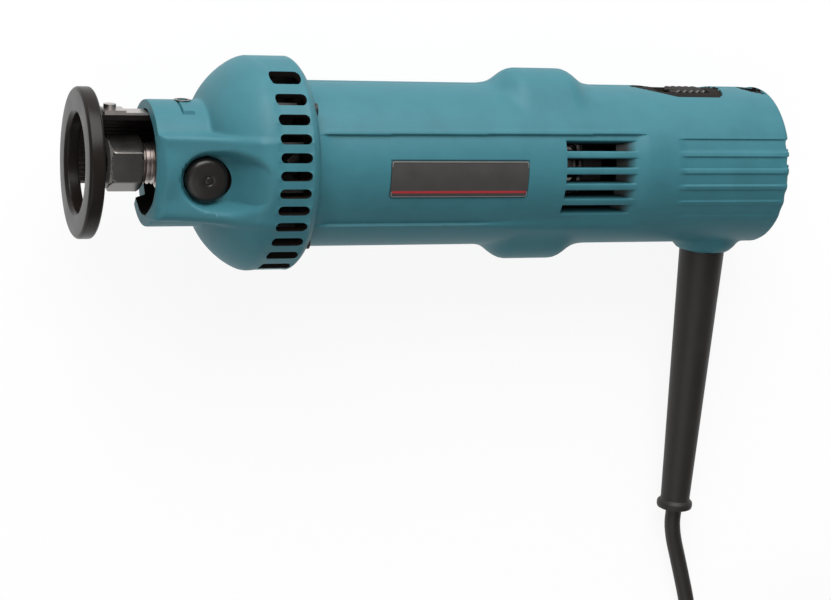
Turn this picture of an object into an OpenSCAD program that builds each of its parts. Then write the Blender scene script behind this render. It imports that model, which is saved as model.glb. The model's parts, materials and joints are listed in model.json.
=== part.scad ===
// Corded drywall cut out tool, laid on its far side on a bench.
// Pieces are drawn in the tool's own frame: X runs along the spindle from the base disc to the rear,
// Y points to the switch side and Z to the near side. The module laid() then sets them on the bench.

/* [Base guide] */
// Radius of the base disc
guide_r = 25.1; // [22:0.1:28]
// Thickness of the base disc
guide_t = 5.2; // [3:0.1:6]
// Radius of the hole in the base disc
guide_hole_r = 16.4; // [15.8:0.1:17]
// Outer radius of the guide's part sleeve
sleeve_r = 17.2; // [16.8:0.1:17.6]
// Thickness of the sleeve
sleeve_t = 2; // [1.5:0.1:2.6]
// Length of the sleeve behind the disc
sleeve_len = 32; // [28:0.5:33]
// Depth adjustment forwards
guide_out = 8; // [4:0.5:9]
// Depth adjustment backwards
guide_in = 7; // [3:0.5:7]
// Half width of the clamping strip
strip_half_w = 4; // [3:0.1:5]
// Thickness of the clamping strip
strip_t = 0.8; // [0.6:0.1:1]
// Thickness of the strip's front tab
strip_tab_t = 1.5; // [1.2:0.1:2]

/* [Nose] */
// Gap from the disc's front face to the nose
nose_x = 23.4; // [22.4:0.1:24.4]
// Length of the nose up to the dome
nose_len = 18.4; // [17:0.1:20]
// Radius of the nose, top and bottom
nose_r = 21.2; // [21:0.1:22.4]
// Half width of the nose between its flat sides
nose_half_w = 20.3; // [19.6:0.1:21]
// Height of the ridge along the side boss
ridge_y = 12.4; // [11:0.1:14]
// Depth of the wide mouth of the nose
mouth_len = 6.6; // [5:0.1:7]

/* [Spindle lock] */
// Radius of the lock button
button_r = 8; // [7:0.1:8.4]
// Distance from the nose front to the button axis
button_dx = 16.6; // [16.1:0.1:17.3]
// Height of the button axis under the spindle axis
button_drop = 0.8; // [0:0.1:1.2]
// How far the domed button stands above the nose side
button_proud = 2.4; // [1.5:0.1:3.5]
// Travel of the button
button_travel = 4; // [3:0.1:4.4]
// Radius of the lock pin
pin_r = 2.5; // [2:0.1:2.8]

/* [Dome and collar] */
// Length of the dome
dome_len = 15.5; // [14.5:0.1:18]
// How square the dome's curve is
dome_power = 1.45; // [1.2:0.05:2]
// Height of the vent collar above the barrel
collar_step = 8; // [6.8:0.1:9]
// Length of the vent collar
collar_len = 17.7; // [17:0.1:21]
// Wall of the collar
collar_wall = 2.4; // [2:0.1:2.6]
// Rounding of the collar's rear edge
collar_round = 3; // [1.5:0.1:3.2]
// Number of exhaust slots on each side
exhaust_count = 12; // [8:2:12]
// Spacing of the exhaust slots
exhaust_pitch = 5.85; // [5:0.05:5.9]
// Height of an exhaust slot
exhaust_h = 3.2; // [2:0.1:3.6]

/* [Barrel] */
// Radius of the barrel
body_r = 28.3; // [28:0.1:28.6]
// Length of the barrel behind the collar
barrel_len = 184; // [181:1:193]
// Wall of the barrel
wall = 2.7; // [2.5:0.1:3]
// Height of the domed rear end
rear_dome = 8; // [6:0.1:9]
// Rounding of the corner round the rear end
rear_round = 2; // [1:0.1:4]
// Half height of the recessed side panel
panel_half_h = 15.5; // [14.8:0.1:17]
// Length of the recessed side panel
panel_len = 117.7; // [116:0.1:120]
// Depth of the side panel
panel_depth = 0.8; // [0.4:0.1:1]
// Length of the name plate
plate_len = 49.8; // [40:0.1:54]
// Half height of the name plate
plate_half_h = 6.2; // [4:0.1:8]
// Thickness of the name plate
plate_t = 0.6; // [0.4:0.1:0.8]
// Number of air slots and rear flutes on each side
flute_count = 5; // [3:2:5]
// Spacing of the air slots and flutes
flute_pitch = 5.85; // [5.2:0.05:5.9]
// Height of an air slot
vent_h = 3.1; // [2:0.1:3.8]
// Length of an air slot
vent_len = 26.4; // [20:0.1:27]
// Height of a flute
flute_h = 4.2; // [3:0.1:4.6]
// Depth of a flute on the sides
flute_depth = 1; // [0.5:0.1:1.2]
// Depth of the upper flutes at the rear end
flute_end_depth = 3.5; // [1:0.1:4]
// Length of the fluted rear part
flute_len = 49.5; // [43:0.5:52]
// Height of the brush humps from the axis
hump_r = 34; // [33.4:0.1:34.6]
// Length of the top of a hump
hump_len = 19.5; // [16:0.1:21]
// Length of each slope of a hump
hump_slope = 11; // [9:0.1:12]

/* [Collet and spindle] */
// Width across the flats of the collet nut
nut_af = 17; // [16.6:0.1:18]
// Length of the collet nut
nut_len = 11; // [10:0.1:11.4]
// Radius of the bit bore in the collet
bit_r = 1.6; // [1.5:0.05:1.8]
// Radius of the spindle thread
thread_r = 7; // [6.8:0.1:7.2]
// Pitch of the spindle thread
thread_pitch = 1.5; // [1:0.25:2]
// Radius of the spindle's lock shoulder
shoulder_r = 8.5; // [8.2:0.1:9]
// Radius of the motor shaft
shaft_r = 5; // [4.6:0.1:5.2]

/* [Bearings] */
// Bore radius of the front bearing
front_bore_r = 6; // [5.6:0.1:6.2]
// Outer radius of the front bearing
front_outer_r = 14; // [13.6:0.1:14.2]
// Width of the front bearing
front_w = 8; // [7:0.1:8.2]
// Bore radius of the rear bearing
rear_bore_r = 4; // [3.6:0.1:4.2]
// Outer radius of the rear bearing
rear_outer_r = 11; // [10.6:0.1:11.2]
// Width of the rear bearing
rear_w = 7; // [6:0.1:7.4]
// Thickness of the rubber sleeve round the rear bearing
rear_sleeve_t = 2; // [1.5:0.1:2.4]

/* [Motor] */
// Gap between the fan and the screw bosses round it
fan_gap = 0.9; // [0.5:0.1:3]
// Number of fan blades
fan_blades = 11; // [7:1:15]
// Radius of the armature
armature_r = 15; // [14:0.1:15.4]
// Air gap round the armature
air_gap = 0.6; // [0.4:0.1:1]
// Length of the lamination stacks
stack_len = 44; // [40:0.5:46]
// Number of armature slots
armature_slots = 12; // [10:1:14]
// Length of the winding heads past the stacks
head_len = 6; // [5:0.1:7]
// Radius of the commutator
commutator_r = 10; // [9:0.1:10.4]
// Length of the commutator
commutator_len = 17; // [14:0.1:18]
// Number of commutator bars
commutator_bars = 24; // [16:2:28]

/* [Brushes] */
// Brush width along the spindle
brush_w = 6.3; // [5:0.1:6.6]
// Brush width across
brush_d = 8; // [6:0.1:8.4]
// Brush length
brush_len = 14; // [11:0.1:14.4]
// Wall of the brush holder
holder_wall = 0.9; // [0.6:0.1:1]
// How far a brush can lift
brush_lift = 2; // [1:0.1:2.2]

/* [Switch] */
// Length of the switch knob
knob_len = 13; // [10:0.1:13.4]
// Half width of the switch knob
knob_half_w = 4.4; // [3.6:0.1:4.6]
// Travel of the switch knob
switch_travel = 6; // [4:0.1:6.4]
// Depth of the recess round the knob
recess_depth = 2.4; // [1.5:0.1:2.6]
// Number of ridges on the knob
knob_ridges = 6; // [4:1:7]

/* [Cord] */
// Radius of the cord
cord_r = 3; // [2.6:0.1:3.2]
// Radius of the cord guard at the barrel
guard_r = 8.25; // [8:0.05:9]
// Radius of the cord guard at its tip
guard_tip_r = 5.5; // [5:0.05:6.5]
// Radius of the ring at the guard's tip
guard_ring_r = 7.3; // [7:0.1:8]
// Distance from the spindle axis to the guard's tip
guard_reach = 134; // [130:1:138]
// Distance from the guard's axis to the rear end
guard_dx = 23.6; // [23:0.1:25]
// Inner radius of the coiled cord
coil_r = 27.5; // [24:0.5:30]
// Turns in each layer of the coil
coil_turns = 2.5625; // [2.5625:1:3.5625]
// Clear gap between neighbouring turns
coil_gap = 0.6; // [0.5:0.05:1]

/* [Hidden] */
$fa = 6;
$fs = 0.5;

// Clearances: running fits, loose gaps of moving pieces, seats of fixed pieces, and cut overshoot
run_gap = 0.05;
free_gap = 0.3;
seat_gap = 0.02;
over = 1;

// Stations along the spindle
collar_r = body_r + collar_step;
dome_x = nose_x + nose_len;
collar_x = dome_x + dome_len;
barrel_x = collar_x + collar_len;
rear_x = barrel_x + barrel_len;
barrel_in_r = body_r - wall;
rear_wall = 5;
end_dome_r = (body_r * body_r + rear_dome * rear_dome) / (2 * rear_dome);

// Base guide and its clamp
sleeve_from = -35;
sleeve_sweep = 139;
sleeve_side_gap = 2;
disc_bevel = 0.9;
strip_sink = 0.5;
strip_y = sleeve_r - strip_sink;
strip_x = guide_t + 3.5;
strip_tab_len = 7.1;
strip_screw_x = strip_x + 2.4;
strip_screw_r = 1.2;
strip_head_r = 2.1;
strip_head_t = 1.6;
clamp_x = nose_x + 12.1;
clamp_r = 2;
clamp_head_r = 2.8;
clamp_head_t = 1.2;
clamp_head_y = nose_r - 0.9;
strip_end_x = clamp_x + clamp_r + guide_out + free_gap;
channel_end_x = guide_t + sleeve_len + guide_in + free_gap;
strip_channel_end_x = strip_end_x + guide_in + free_gap;

// Nose details
mouth_r = sleeve_r + free_gap;
nose_chamfer_x = 3.1;
nose_chamfer_z = 2.8;
boss_low_y = -15;
flare_x = 8.2;
flare_z = 3.2;
flare_end_z = 8;
notch_len = 3.5;
notch_low_y = -16;
notch_high_y = 14;
notch_z = 10;
pocket_depth = 0.7;
pocket_half_len = 2.7;
pocket_half_w = 10;
scoop_r = button_r + 0.9;
scoop_end_r = button_r + 2.4;
scoop_end = [11.5, -2.2];
scoop_slope = 0.12;
scoop_turn = 6;
scoop_run = 11.5;
scoop_z = nose_half_w - 1.4;
scoop_rise = collar_r - scoop_z - 4.4;
scoop_top = scoop_z + scoop_slope * (scoop_turn + 1.2 * scoop_run) + 1.44 * scoop_rise + over;
neck_r = shoulder_r + 1.5;

// Collet, nut and spindle ends
nut_gap = 2;
nut_x = nose_x - nut_gap - nut_len;
nut_wall = 2;
nut_hole_r = 3.4;
nut_bevel = 1.2;
nut_corner_r = nut_af / 2 / cos(30);
nut_front_r = nut_af / 2 - 0.3;
nut_back_r = nut_af / 2 + 0.5;
nut_turn_r = nut_corner_r + 0.3;
collet_head_len = 2.1;
spindle_x = nut_x + nut_wall + collet_head_len;
thread_end_x = nose_x + 4.1;
thread_depth = 0.85;
thread_count = floor((thread_end_x - spindle_x) / thread_pitch);
collet_x = nut_x + nut_wall + run_gap;
collet_mouth_r = 5.3;
collet_tail_r = 4.2;
collet_cone_x = spindle_x + 15.5;
collet_bore_x = spindle_x + 21.5;
collet_end_x = collet_bore_x - 2;
collet_slit = 0.8;
collet_slit_len = 16;

// Spindle lock
button_x = nose_x + button_dx;
button_y = -button_drop;
button_flange_z = nose_half_w - 1.6;
button_top_z = nose_half_w + button_proud;
pin_rest_gap = 1.5;
pin_hole_gap = 0.2;
pin_hole_depth = 3.7;
button_gap = 0.15;
pin_tip_z = shoulder_r + pin_rest_gap;
spring_wire_r = 0.3;
lock_spring_turns = 3;
lock_spring_closed = 2.7;
lock_spring_r = pin_r + 1.2;
lock_spring_seat_z = button_flange_z - button_travel - lock_spring_closed;
button_edge_w = 3;
button_edge_h = 2.4;

// Front bearing and seal behind the lock
seal_t = 1.7;
seal_wall = 3.5;
front_x = button_x + button_r + 0.8;
seal_x = front_x - seal_t - run_gap;
retainer_t = 1.8;
retainer_r = 20;
retainer_lip = 3.5;
retainer_x = front_x + front_w + seat_gap;
retainer_screw_r = 1.5;
retainer_screw_at = 17;
retainer_screw_len = 8;
retainer_head_r = 2.6;
retainer_head_t = 1.5;
retainer_screw_angles = [30, 150, 270];

// Fan chamber inside the collar
chamber_r = collar_r - collar_wall;
chamber_x = retainer_x + retainer_t;
flange_t = 4;
flange_x = barrel_x - flange_t;
flange_gap = 0.2;
flange_r = chamber_r - flange_gap;
flange_screw_in = 2.5;
flange_screw_at = chamber_r - flange_screw_in;
flange_screw_r = 1.4;
flange_boss_r = 3.4;
flange_head_r = 2.4;
flange_head_t = 2;
flange_boss_len = 11;
fan_plate_t = 1.8;
fan_hub_r = 8;
fan_blade_t = 1.4;
fan_r = flange_screw_at - flange_boss_r - fan_gap;
fan_x = chamber_x + retainer_head_t + free_gap;
fan_end_x = flange_x - free_gap;
exhaust_x = collar_x + 2.6;
exhaust_end_x = barrel_x - 4.3;
baffle_t = 2;
baffle_hole_r = 20;

// Motor stack
stack_x = barrel_x + 11;
stator_r = barrel_in_r - free_gap;
stator_bore_r = armature_r + air_gap;
pole_shoe_t = 1.4;
coil_depth = 4;
window_r = stator_bore_r + pole_shoe_t + coil_depth;
window_gap = 0.3;
stop_len = 3;
stop_depth = 1.7;
armature_slot_w = 2.6;
armature_mouth_w = 1.2;
armature_slot_r = 8.5;
armature_tip_t = 1.2;
head_in_r = shaft_r + 1.5;
head_out_r = armature_r - 1.6;
head_edge = 1.4;

// Commutator, brushes and rear bearing
brush_x = barrel_x + 87.7;
commutator_x = brush_x - commutator_len / 2;
riser_len = 2.5;
riser_extra = 1.3;
bar_gap = 0.5;
bar_depth = 0.6;
brush_foot_y = commutator_r + run_gap;
brush_gap = 0.1;
brush_end_y = brush_foot_y + brush_len;
brush_spring_r = 2.4;
brush_spring_turns = 3;
brush_spring_closed = 2.6;
holder_foot_y = commutator_r + 2;
holder_end_y = brush_end_y + brush_lift + brush_spring_closed;
holder_rib_in = 4;
holder_rib_end = 2;
hump_x = brush_x - 0.9;
hump_axis_y = 16.6;
hump_lobe_r = hump_r - hump_axis_y;
hump_foot_r = body_r - hump_axis_y - 0.7;
rear_bearing_x = brush_x + 15.3;
seat_lip = 0.6;
seat_ring_t = 3;
seat_r = rear_outer_r + rear_sleeve_t + 2 * seat_gap;
shaft_end_x = rear_bearing_x + rear_w + 2;

// Side panel, plates, air slots and flutes
panel_x = barrel_x + 2.8;
panel_r = body_r - panel_depth;
plate_x = barrel_x + 25.2;
plate_pocket = 0.3;
plate_frame_gap = 0.1;
vent_x = barrel_x + 90.6;
vent_ramp = 5;
flute_x = rear_x - flute_len;
deep_flutes = 2;
flute_ys = [for (i = [0 : flute_count - 1]) (i - (flute_count - 1) / 2) * flute_pitch];

// Screws that join the two halves of the barrel, as X and Y
shell_screw_r = 1.5;
shell_boss_r = 3.4;
shell_head_r = 2.8;
shell_head_z = 14;
shell_head_t = 2;
shell_screw_len = 22;
shell_screw_in = 5.1;
rear_screw_in = 13.1;
shell_screw_at = [
    for (v = [-1, 1]) each [
        [barrel_x + 70, v * (barrel_in_r - shell_screw_in)],
        [barrel_x + 115, v * (barrel_in_r - shell_screw_in)],
        [rear_x - 9.5, v * (barrel_in_r - rear_screw_in)]]];

// Switch on top, near the rear
recess_x = rear_x - 57.5;
recess_r = 7.5;
recess_mid_x = rear_x - 31;
recess_floor_y = body_r - recess_depth;
recess_pad_t = 3;
recess_pad_side = 3;
recess_taper = 1.8;
recess_narrow = 0.6;
knob_x = rear_x - 44;
knob_top_y = body_r;
knob_floor_y = recess_floor_y + free_gap;
knob_corner = 2;
knob_groove = [0.9, 1.6];
knob_groove_lean = 30;
stem_half_w = 2.4;
stem_len = 7;
stem_x = knob_x + knob_len / 2 - stem_len / 2;
link_t = 1.8;
link_y = recess_floor_y - recess_pad_t - free_gap - link_t;
link_half_w = 5;
switch_len = 26;
switch_x = rear_x - 61;
switch_h = 11;
switch_half_w = 8;
switch_top_y = link_y - free_gap;
capacitor_len = 16;
capacitor_r = 6;
capacitor_x = rear_x - 59;
capacitor_y = -12;
holding_rib_t = 2;
holding_rib_in = 3;
rear_slot_x = rear_x - 14;
rear_slot_len = 11;
rear_slot_half_w = 2.6;

// Cord entry, guard and clamp
guard_x = rear_x - guard_dx;
boss_r = guard_r + 4.75;
boss_tip_r = guard_r + 1.25;
boss_y = body_r + 4.6;
guard_flange_r = guard_r + 1.9;
guard_flange_t = 2.5;
guard_flange_y = sqrt(barrel_in_r * barrel_in_r - guard_flange_r * guard_flange_r) - 0.1;
guard_ring_t = 3.4;
guard_ring_slope = 1.5;
guard_ring_bevel = 0.6;
clamp_y = guard_flange_y - guard_flange_t - 1;
clamp_h = 6;
clamp_half_w = 10;
clamp_t = 3;
clamp_screw_r = 1.3;
clamp_screw_at = 6.6;
clamp_screw_len = 13;
cord_inner_y = clamp_y - clamp_h - 5;

// How the tool lies: the collar's rear edge and the barrel's rear corner touch the bench, which tilts
// the nose up, and the tool rolls until the ring at the guard's tip touches the bench too
rest_x1 = barrel_x - collar_round;
rest_r1 = collar_r - collar_round;
rest_x2 = end_corner_x(body_r, rear_x);
rest_r2 = body_r - rear_round;
rest_span = norm([rest_x2 - rest_x1, rest_r1 - rest_r2]);
lay_tilt = atan((rest_r1 - rest_r2) / (rest_x2 - rest_x1)) - asin((rear_round - collar_round) / rest_span);
lay_lift = rest_x1 * sin(lay_tilt) + rest_r1 * cos(lay_tilt) + collar_round;
guard_lift = (lay_lift - guard_x * sin(lay_tilt)) / cos(lay_tilt);
lay_roll = asin(guard_lift / norm([guard_reach, guard_ring_r])) - atan(guard_ring_r / guard_reach);
lay_mid = ((rear_x - end_dome_r) * cos(lay_tilt) + end_dome_r - guide_r * sin(lay_tilt)) / 2;

// A point and a direction of the tool's frame, as they lie on the bench
function rolled(p) = [p.x,
    p.y * cos(lay_roll) - p.z * sin(lay_roll),
    p.y * sin(lay_roll) + p.z * cos(lay_roll)];
function tilted(p) = [p.x * cos(lay_tilt) + p.z * sin(lay_tilt),
    p.y,
    p.z * cos(lay_tilt) - p.x * sin(lay_tilt)];
function laid_point(p) = tilted(rolled(p)) + [-lay_mid, 0, lay_lift];

module laid() {
    translate([-lay_mid, 0, lay_lift]) rotate([0, lay_tilt, 0]) rotate([lay_roll, 0, 0]) children();
}

// Cord on the bench: free stretch, coil, tail and plug, in the bench's frame
tie_t = 0.8;
tie_gap = 0.3;
coil_pitch = 2 * cord_r + coil_gap;
coil_layers = 4;
coil_base_z = cord_r + tie_t + tie_gap;
coil_center = [164, -224];
coil_start = 180;
coil_out_r = coil_r + coil_turns * coil_pitch;
coil_steps = 24;
coil_count = round(coil_layers * coil_turns * coil_steps);
guard_tip = laid_point([guard_x, -guard_reach, 0]);
guard_end = guard_tip + 2 * cord_r * (guard_tip - laid_point([guard_x, 1 - guard_reach, 0]));
lead_points = [[106.6, -144.5, 5], [108.9, -152, 3.9], [111.2, -160.5, 3.5], [113.4, -170, 3.5],
    [117, -190, 4]];
tail_points = [[185.3, -269.8, 21.5], [203.6, -263.6, 15.5], [218.4, -249.4, 10], [224.4, -232.5, 7.5]];
plug_at = [224.8, -218.7, 7.5];
plug_turn = 95;
plug_len = 30;
plug_w = 20;
plug_h = 15;
plug_neck_len = 8;
plug_neck_r = 5;
blade_len = 17;
blade_w = 6.3;
blade_t = 1.5;
blade_gap = 12.7;
blade_seat = 6;
plug_corner = 4;
plug_neck_taper = 1;
tie_w = 7;
tie_turn = 75;

// Sum of a list of numbers
function total(v, i = 0, s = 0) = i < len(v) ? total(v, i + 1, s + v[i]) : s;
function unit(v) = v / norm(v);
function path_length(p) = total([for (i = [1 : len(p) - 1]) norm(p[i] - p[i - 1])]);

// A smooth curve through the given points, steps rings to each span
function spline_at(a, b, c, d, t) = 0.5 * (2 * b + (c - a) * t + (2 * a - 5 * b + 4 * c - d) * t * t
    + (3 * b - a - 3 * c + d) * t * t * t);
function smooth(p, steps) = let (n = len(p) - 1) concat([for (i = [0 : n - 1]) for (k = [0 : steps - 1])
    spline_at(i > 0 ? p[i - 1] : 2 * p[0] - p[1], p[i], p[i + 1],
        i < n - 1 ? p[i + 2] : 2 * p[n] - p[n - 1], k / steps)], [p[n]]);

// Rings square to a path, and the tube that they make
function heading(p, i) = unit(p[min(i + 1, len(p) - 1)] - p[max(i - 1, 0)]);
function ring(c, t, r, sides) = let (s = unit(cross(t, [0, 0, 1])), u = cross(s, t))
    [for (k = [0 : sides - 1]) c + r * (cos(360 * k / sides) * s + sin(360 * k / sides) * u)];
module tube(p, r, sides) {
    n = len(p);
    points = [for (i = [0 : n - 1]) for (q = ring(p[i], heading(p, i), r, sides)) q];
    sides_faces = [for (i = [0 : n - 2]) for (k = [0 : sides - 1]) for (h = [0, 1])
        let (a = i * sides + k, b = i * sides + (k + 1) % sides)
        h == 0 ? [a, b, b + sides] : [a, b + sides, a + sides]];
    caps = [for (k = [1 : sides - 2]) for (h = [0, 1]) let (e = (n - 1) * sides)
        h == 0 ? [0, k + 1, k] : [e, e + k, e + k + 1]];
    polyhedron(points, concat(sides_faces, caps));
}

// The coil: it spirals in and out at a steady rate, and climbs a layer in the half turn where it reverses
function coil_layer(t) = floor(t / coil_turns);
function coil_radius(t) = let (l = min(coil_layer(t), coil_layers - 1), s = t - l * coil_turns)
    l % 2 == 0 ? coil_out_r - s * coil_pitch : coil_r + s * coil_pitch;
function coil_climb(t) = total([for (l = [1 : coil_layers - 1])
    max(0, min(1, (t - l * coil_turns + 0.25) / 0.5))]);
function coil_point(t) = let (a = coil_start + 360 * t, r = coil_radius(t))
    [coil_center.x + r * cos(a), coil_center.y + r * sin(a), coil_base_z + coil_pitch * coil_climb(t)];
coil_first = coil_point(0);
coil_last = coil_point(coil_layers * coil_turns);
function coil_heading(t) = let (a = coil_start + 360 * t) [-sin(a), cos(a), 0];
coil_path = concat([coil_first - 2 * cord_r * coil_heading(0)],
    [for (i = [0 : coil_count]) coil_point(i / coil_steps)],
    [coil_last + 2 * cord_r * coil_heading(coil_layers * coil_turns)]);
lead_end = coil_path[0];
tail_start = coil_path[len(coil_path) - 1];
lead_path = concat([guard_tip],
    smooth(concat([guard_end], lead_points, [lead_end + [0, 2 * cord_r, 0], lead_end]), 2));
tail_path = concat([tail_start],
    smooth(concat([tail_start + 2 * cord_r * coil_heading(coil_layers * coil_turns)], tail_points,
        [plug_at]), 2));
// Least distance of the coil's centre line to itself, away from neighbouring points
coil_least = min([for (i = [0 : 2 : coil_count]) for (j = [i + 8 : coil_count])
    norm(coil_point(i / coil_steps) - coil_point(j / coil_steps))]);
echo(coil_self_gap = coil_least - 2 * cord_r,
    cord_length = path_length(lead_path) + path_length(coil_path) + path_length(tail_path),
    tilt = lay_tilt, roll = lay_roll, lift = lay_lift, mid = lay_mid);

// Outlines in Y and Z pushed along X, outlines in X and Z pushed along Y, and turned outlines
module along_x(x, len) {
    translate([x, 0, 0]) rotate([90, 0, 90]) linear_extrude(len) children();
}
module along_y(y, len) {
    translate([0, y + len, 0]) rotate([90, 0, 0]) linear_extrude(len) children();
}
module turned() {
    rotate([0, 90, 0]) rotate_extrude() children();
}
module rod_x(x, r, len) {
    translate([x, 0, 0]) rotate([0, 90, 0]) cylinder(r = r, h = len);
}
module ring_x(x, r_in, r_out, len) {
    difference() {
        rod_x(x, r_out, len);
        rod_x(x - over, r_in, len + 2 * over);
    }
}
module rod_y(x, y, r, len) {
    translate([x, y, 0]) rotate([-90, 0, 0]) cylinder(r = r, h = len);
}
module rod_z(x, y, z, r, len) {
    translate([x, y, z]) cylinder(r = r, h = len);
}
module sector_x(x, r_in, r_out, len, from, sweep) {
    translate([x, 0, 0]) rotate([0, 90, 0]) rotate([0, 0, from]) rotate_extrude(angle = sweep)
        translate([r_in, 0]) square([r_out - r_in, len]);
}
// A block between two corners
module block(a, b) {
    translate(a) cube(b - a);
}
module rounded_box_outline(half_w, half_h, r) {
    square([2 * half_w - 2 * r, 2 * half_h], center = true);
    square([2 * half_w, 2 * half_h - 2 * r], center = true);
    for (u = [-1, 1], v = [-1, 1]) translate([u * (half_w - r), v * (half_h - r)]) circle(r);
}
// A coil spring along Z
module coil_spring(r, wire_r, len, turns) {
    rings = 8;
    tube([for (i = [0 : turns * rings]) [r * cos(360 * i / rings), r * sin(360 * i / rings),
        wire_r + (len - 2 * wire_r) * i / turns / rings]], wire_r, 6);
}

black = [0.13, 0.12, 0.12];
dark = [0.22, 0.21, 0.21];
teal = [0.29, 0.53, 0.58];
steel = [0.72, 0.71, 0.7];
brass = [0.8, 0.66, 0.36];
copper = [0.72, 0.42, 0.24];
iron = [0.45, 0.46, 0.48];

module guide_base() color(black) laid() difference() {
    union() {
        turned() polygon([[guide_hole_r + disc_bevel, 0], [guide_r - disc_bevel, 0], [guide_r, disc_bevel],
            [guide_r, guide_t - disc_bevel], [guide_r - disc_bevel, guide_t], [guide_hole_r, guide_t],
            [guide_hole_r, disc_bevel]]);
        sector_x(guide_t, sleeve_r - sleeve_t, sleeve_r, sleeve_len, sleeve_from, sleeve_sweep);
    }
    block([strip_x - free_gap, strip_y, -strip_half_w - seat_gap],
        [guide_t + sleeve_len + over, sleeve_r + over, strip_half_w + seat_gap]);
    rod_y(strip_screw_x, 0, strip_screw_r + seat_gap, sleeve_r);
}

module guide_strip() color(steel) laid() difference() {
    union() {
        block([strip_x, strip_y, -strip_half_w], [strip_end_x, strip_y + strip_t, strip_half_w]);
        block([strip_x, strip_y, -strip_half_w],
            [strip_x + strip_tab_len, strip_y + strip_tab_t, strip_half_w]);
    }
    rod_y(strip_screw_x, strip_y - over, strip_screw_r + seat_gap, strip_tab_t + 2 * over);
}

module guide_strip_screw() color(dark) laid() {
    rod_y(strip_screw_x, sleeve_r - sleeve_t + run_gap, strip_screw_r,
        strip_y + strip_tab_t - sleeve_r + sleeve_t);
    rod_y(strip_screw_x, strip_y + strip_tab_t, strip_head_r, strip_head_t);
}

module guide_clamp_screw() color(dark) laid() difference() {
    union() {
        rod_y(clamp_x, strip_y + strip_t + run_gap, clamp_r, clamp_head_y - strip_y - strip_t);
        rod_y(clamp_x, clamp_head_y, clamp_head_r, clamp_head_t);
    }
    translate([clamp_x, clamp_head_y + clamp_head_t / 2, 0]) rotate([-90, 0, 0])
        cylinder(r = clamp_r, h = clamp_head_t, $fn = 6);
}

module collet_nut() color(black) laid() difference() {
    intersection() {
        along_x(nut_x, nut_len) circle(nut_corner_r, $fn = 6);
        turned() polygon([[0, nut_x], [nut_front_r, nut_x], [nut_turn_r, nut_x + nut_bevel],
            [nut_turn_r, nut_x + nut_len - nut_bevel / 2], [nut_back_r, nut_x + nut_len],
            [0, nut_x + nut_len]]);
    }
    rod_x(nut_x - over, nut_hole_r, nut_len);
    rod_x(nut_x + nut_wall, thread_r + run_gap, nut_len);
}

module collet() color(steel) laid() difference() {
    turned() polygon([[0, collet_x], [collet_mouth_r - run_gap, collet_x],
        [collet_mouth_r - run_gap, spindle_x], [collet_tail_r - run_gap, collet_cone_x],
        [collet_tail_r - run_gap, collet_end_x], [0, collet_end_x]]);
    rod_x(collet_x - over, bit_r, collet_bore_x);
    for (a = [0, 60, 120]) rotate([a, 0, 0])
        block([collet_x - over, -collet_slit / 2, -thread_r],
            [collet_x + collet_slit_len, collet_slit / 2, thread_r]);
}

module spindle() color(steel) laid() difference() {
    turned() polygon(concat(
        [[collet_mouth_r, spindle_x], [thread_r - thread_depth, spindle_x]],
        [for (i = [0 : thread_count - 1], h = [0.5, 1])
            [thread_r - (h == 1 ? thread_depth : 0), spindle_x + (i + h) * thread_pitch]],
        [[thread_r - thread_depth, thread_end_x], [shoulder_r, thread_end_x], [shoulder_r, front_x],
        [front_bore_r - seat_gap, front_x], [front_bore_r - seat_gap, fan_x], [shaft_r, fan_x],
        [shaft_r, rear_bearing_x], [rear_bore_r - seat_gap, rear_bearing_x],
        [rear_bore_r - seat_gap, shaft_end_x], [0, shaft_end_x], [0, collet_bore_x],
        [collet_tail_r, collet_bore_x], [collet_tail_r, collet_cone_x]]));
    for (a = [0 : 90 : 270]) rotate([a, 0, 0])
        rod_z(button_x, button_y, shoulder_r - pin_hole_depth, pin_r + pin_hole_gap, shoulder_r);
}

// Outline of the dome and collar, as radius and X
dome_steps = 12;
round_steps = 6;
dome_outline = concat(
    [for (k = [0 : dome_steps]) let (a = 90 * k / dome_steps)
        [nose_r + (collar_r - nose_r) * pow(sin(a), 2 / dome_power),
        dome_x + dome_len * (1 - pow(cos(a), 2 / dome_power))]],
    [for (k = [0 : round_steps]) let (a = 90 * k / round_steps)
        [collar_r - collar_round * (1 - cos(a)), barrel_x - collar_round * (1 - sin(a))]]);

module nose_block() intersection() {
    along_x(nose_x, collar_x - nose_x) {
        circle(nose_r);
        translate([boss_low_y, -collar_r]) square([ridge_y - boss_low_y, 2 * collar_r]);
    }
    along_y(-collar_r, 2 * collar_r) for (v = [0, 1]) mirror([0, v]) polygon([
        [nose_x, 0], [nose_x, nose_half_w - nose_chamfer_z], [nose_x + nose_chamfer_x, nose_half_w],
        [dome_x, nose_half_w], [dome_x + flare_x, nose_half_w + flare_z],
        [collar_x, nose_half_w + flare_end_z], [collar_x, 0]]);
}

function scoop_floor(s) = scoop_z + scoop_slope * s
    + scoop_rise * pow(max(0, s - scoop_turn) / scoop_run, 2);
module finger_scoop() intersection() {
    translate([button_x, button_y, 0]) linear_extrude(scoop_top) {
        circle(scoop_r);
        translate(scoop_end) circle(scoop_end_r);
        polygon([[0, scoop_r], [0, -scoop_r], scoop_end - [0, scoop_end_r], scoop_end + [0, scoop_end_r]]);
    }
    along_y(-collar_r, 2 * collar_r) translate([button_x, 0]) polygon(concat(
        [[scoop_turn + 1.2 * scoop_run, scoop_top], [-2 * scoop_r, scoop_top]],
        [for (s = [-2 * scoop_r, for (k = [0 : 6]) scoop_turn + k * scoop_run / 5]) [s, scoop_floor(s)]]));
}

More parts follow.
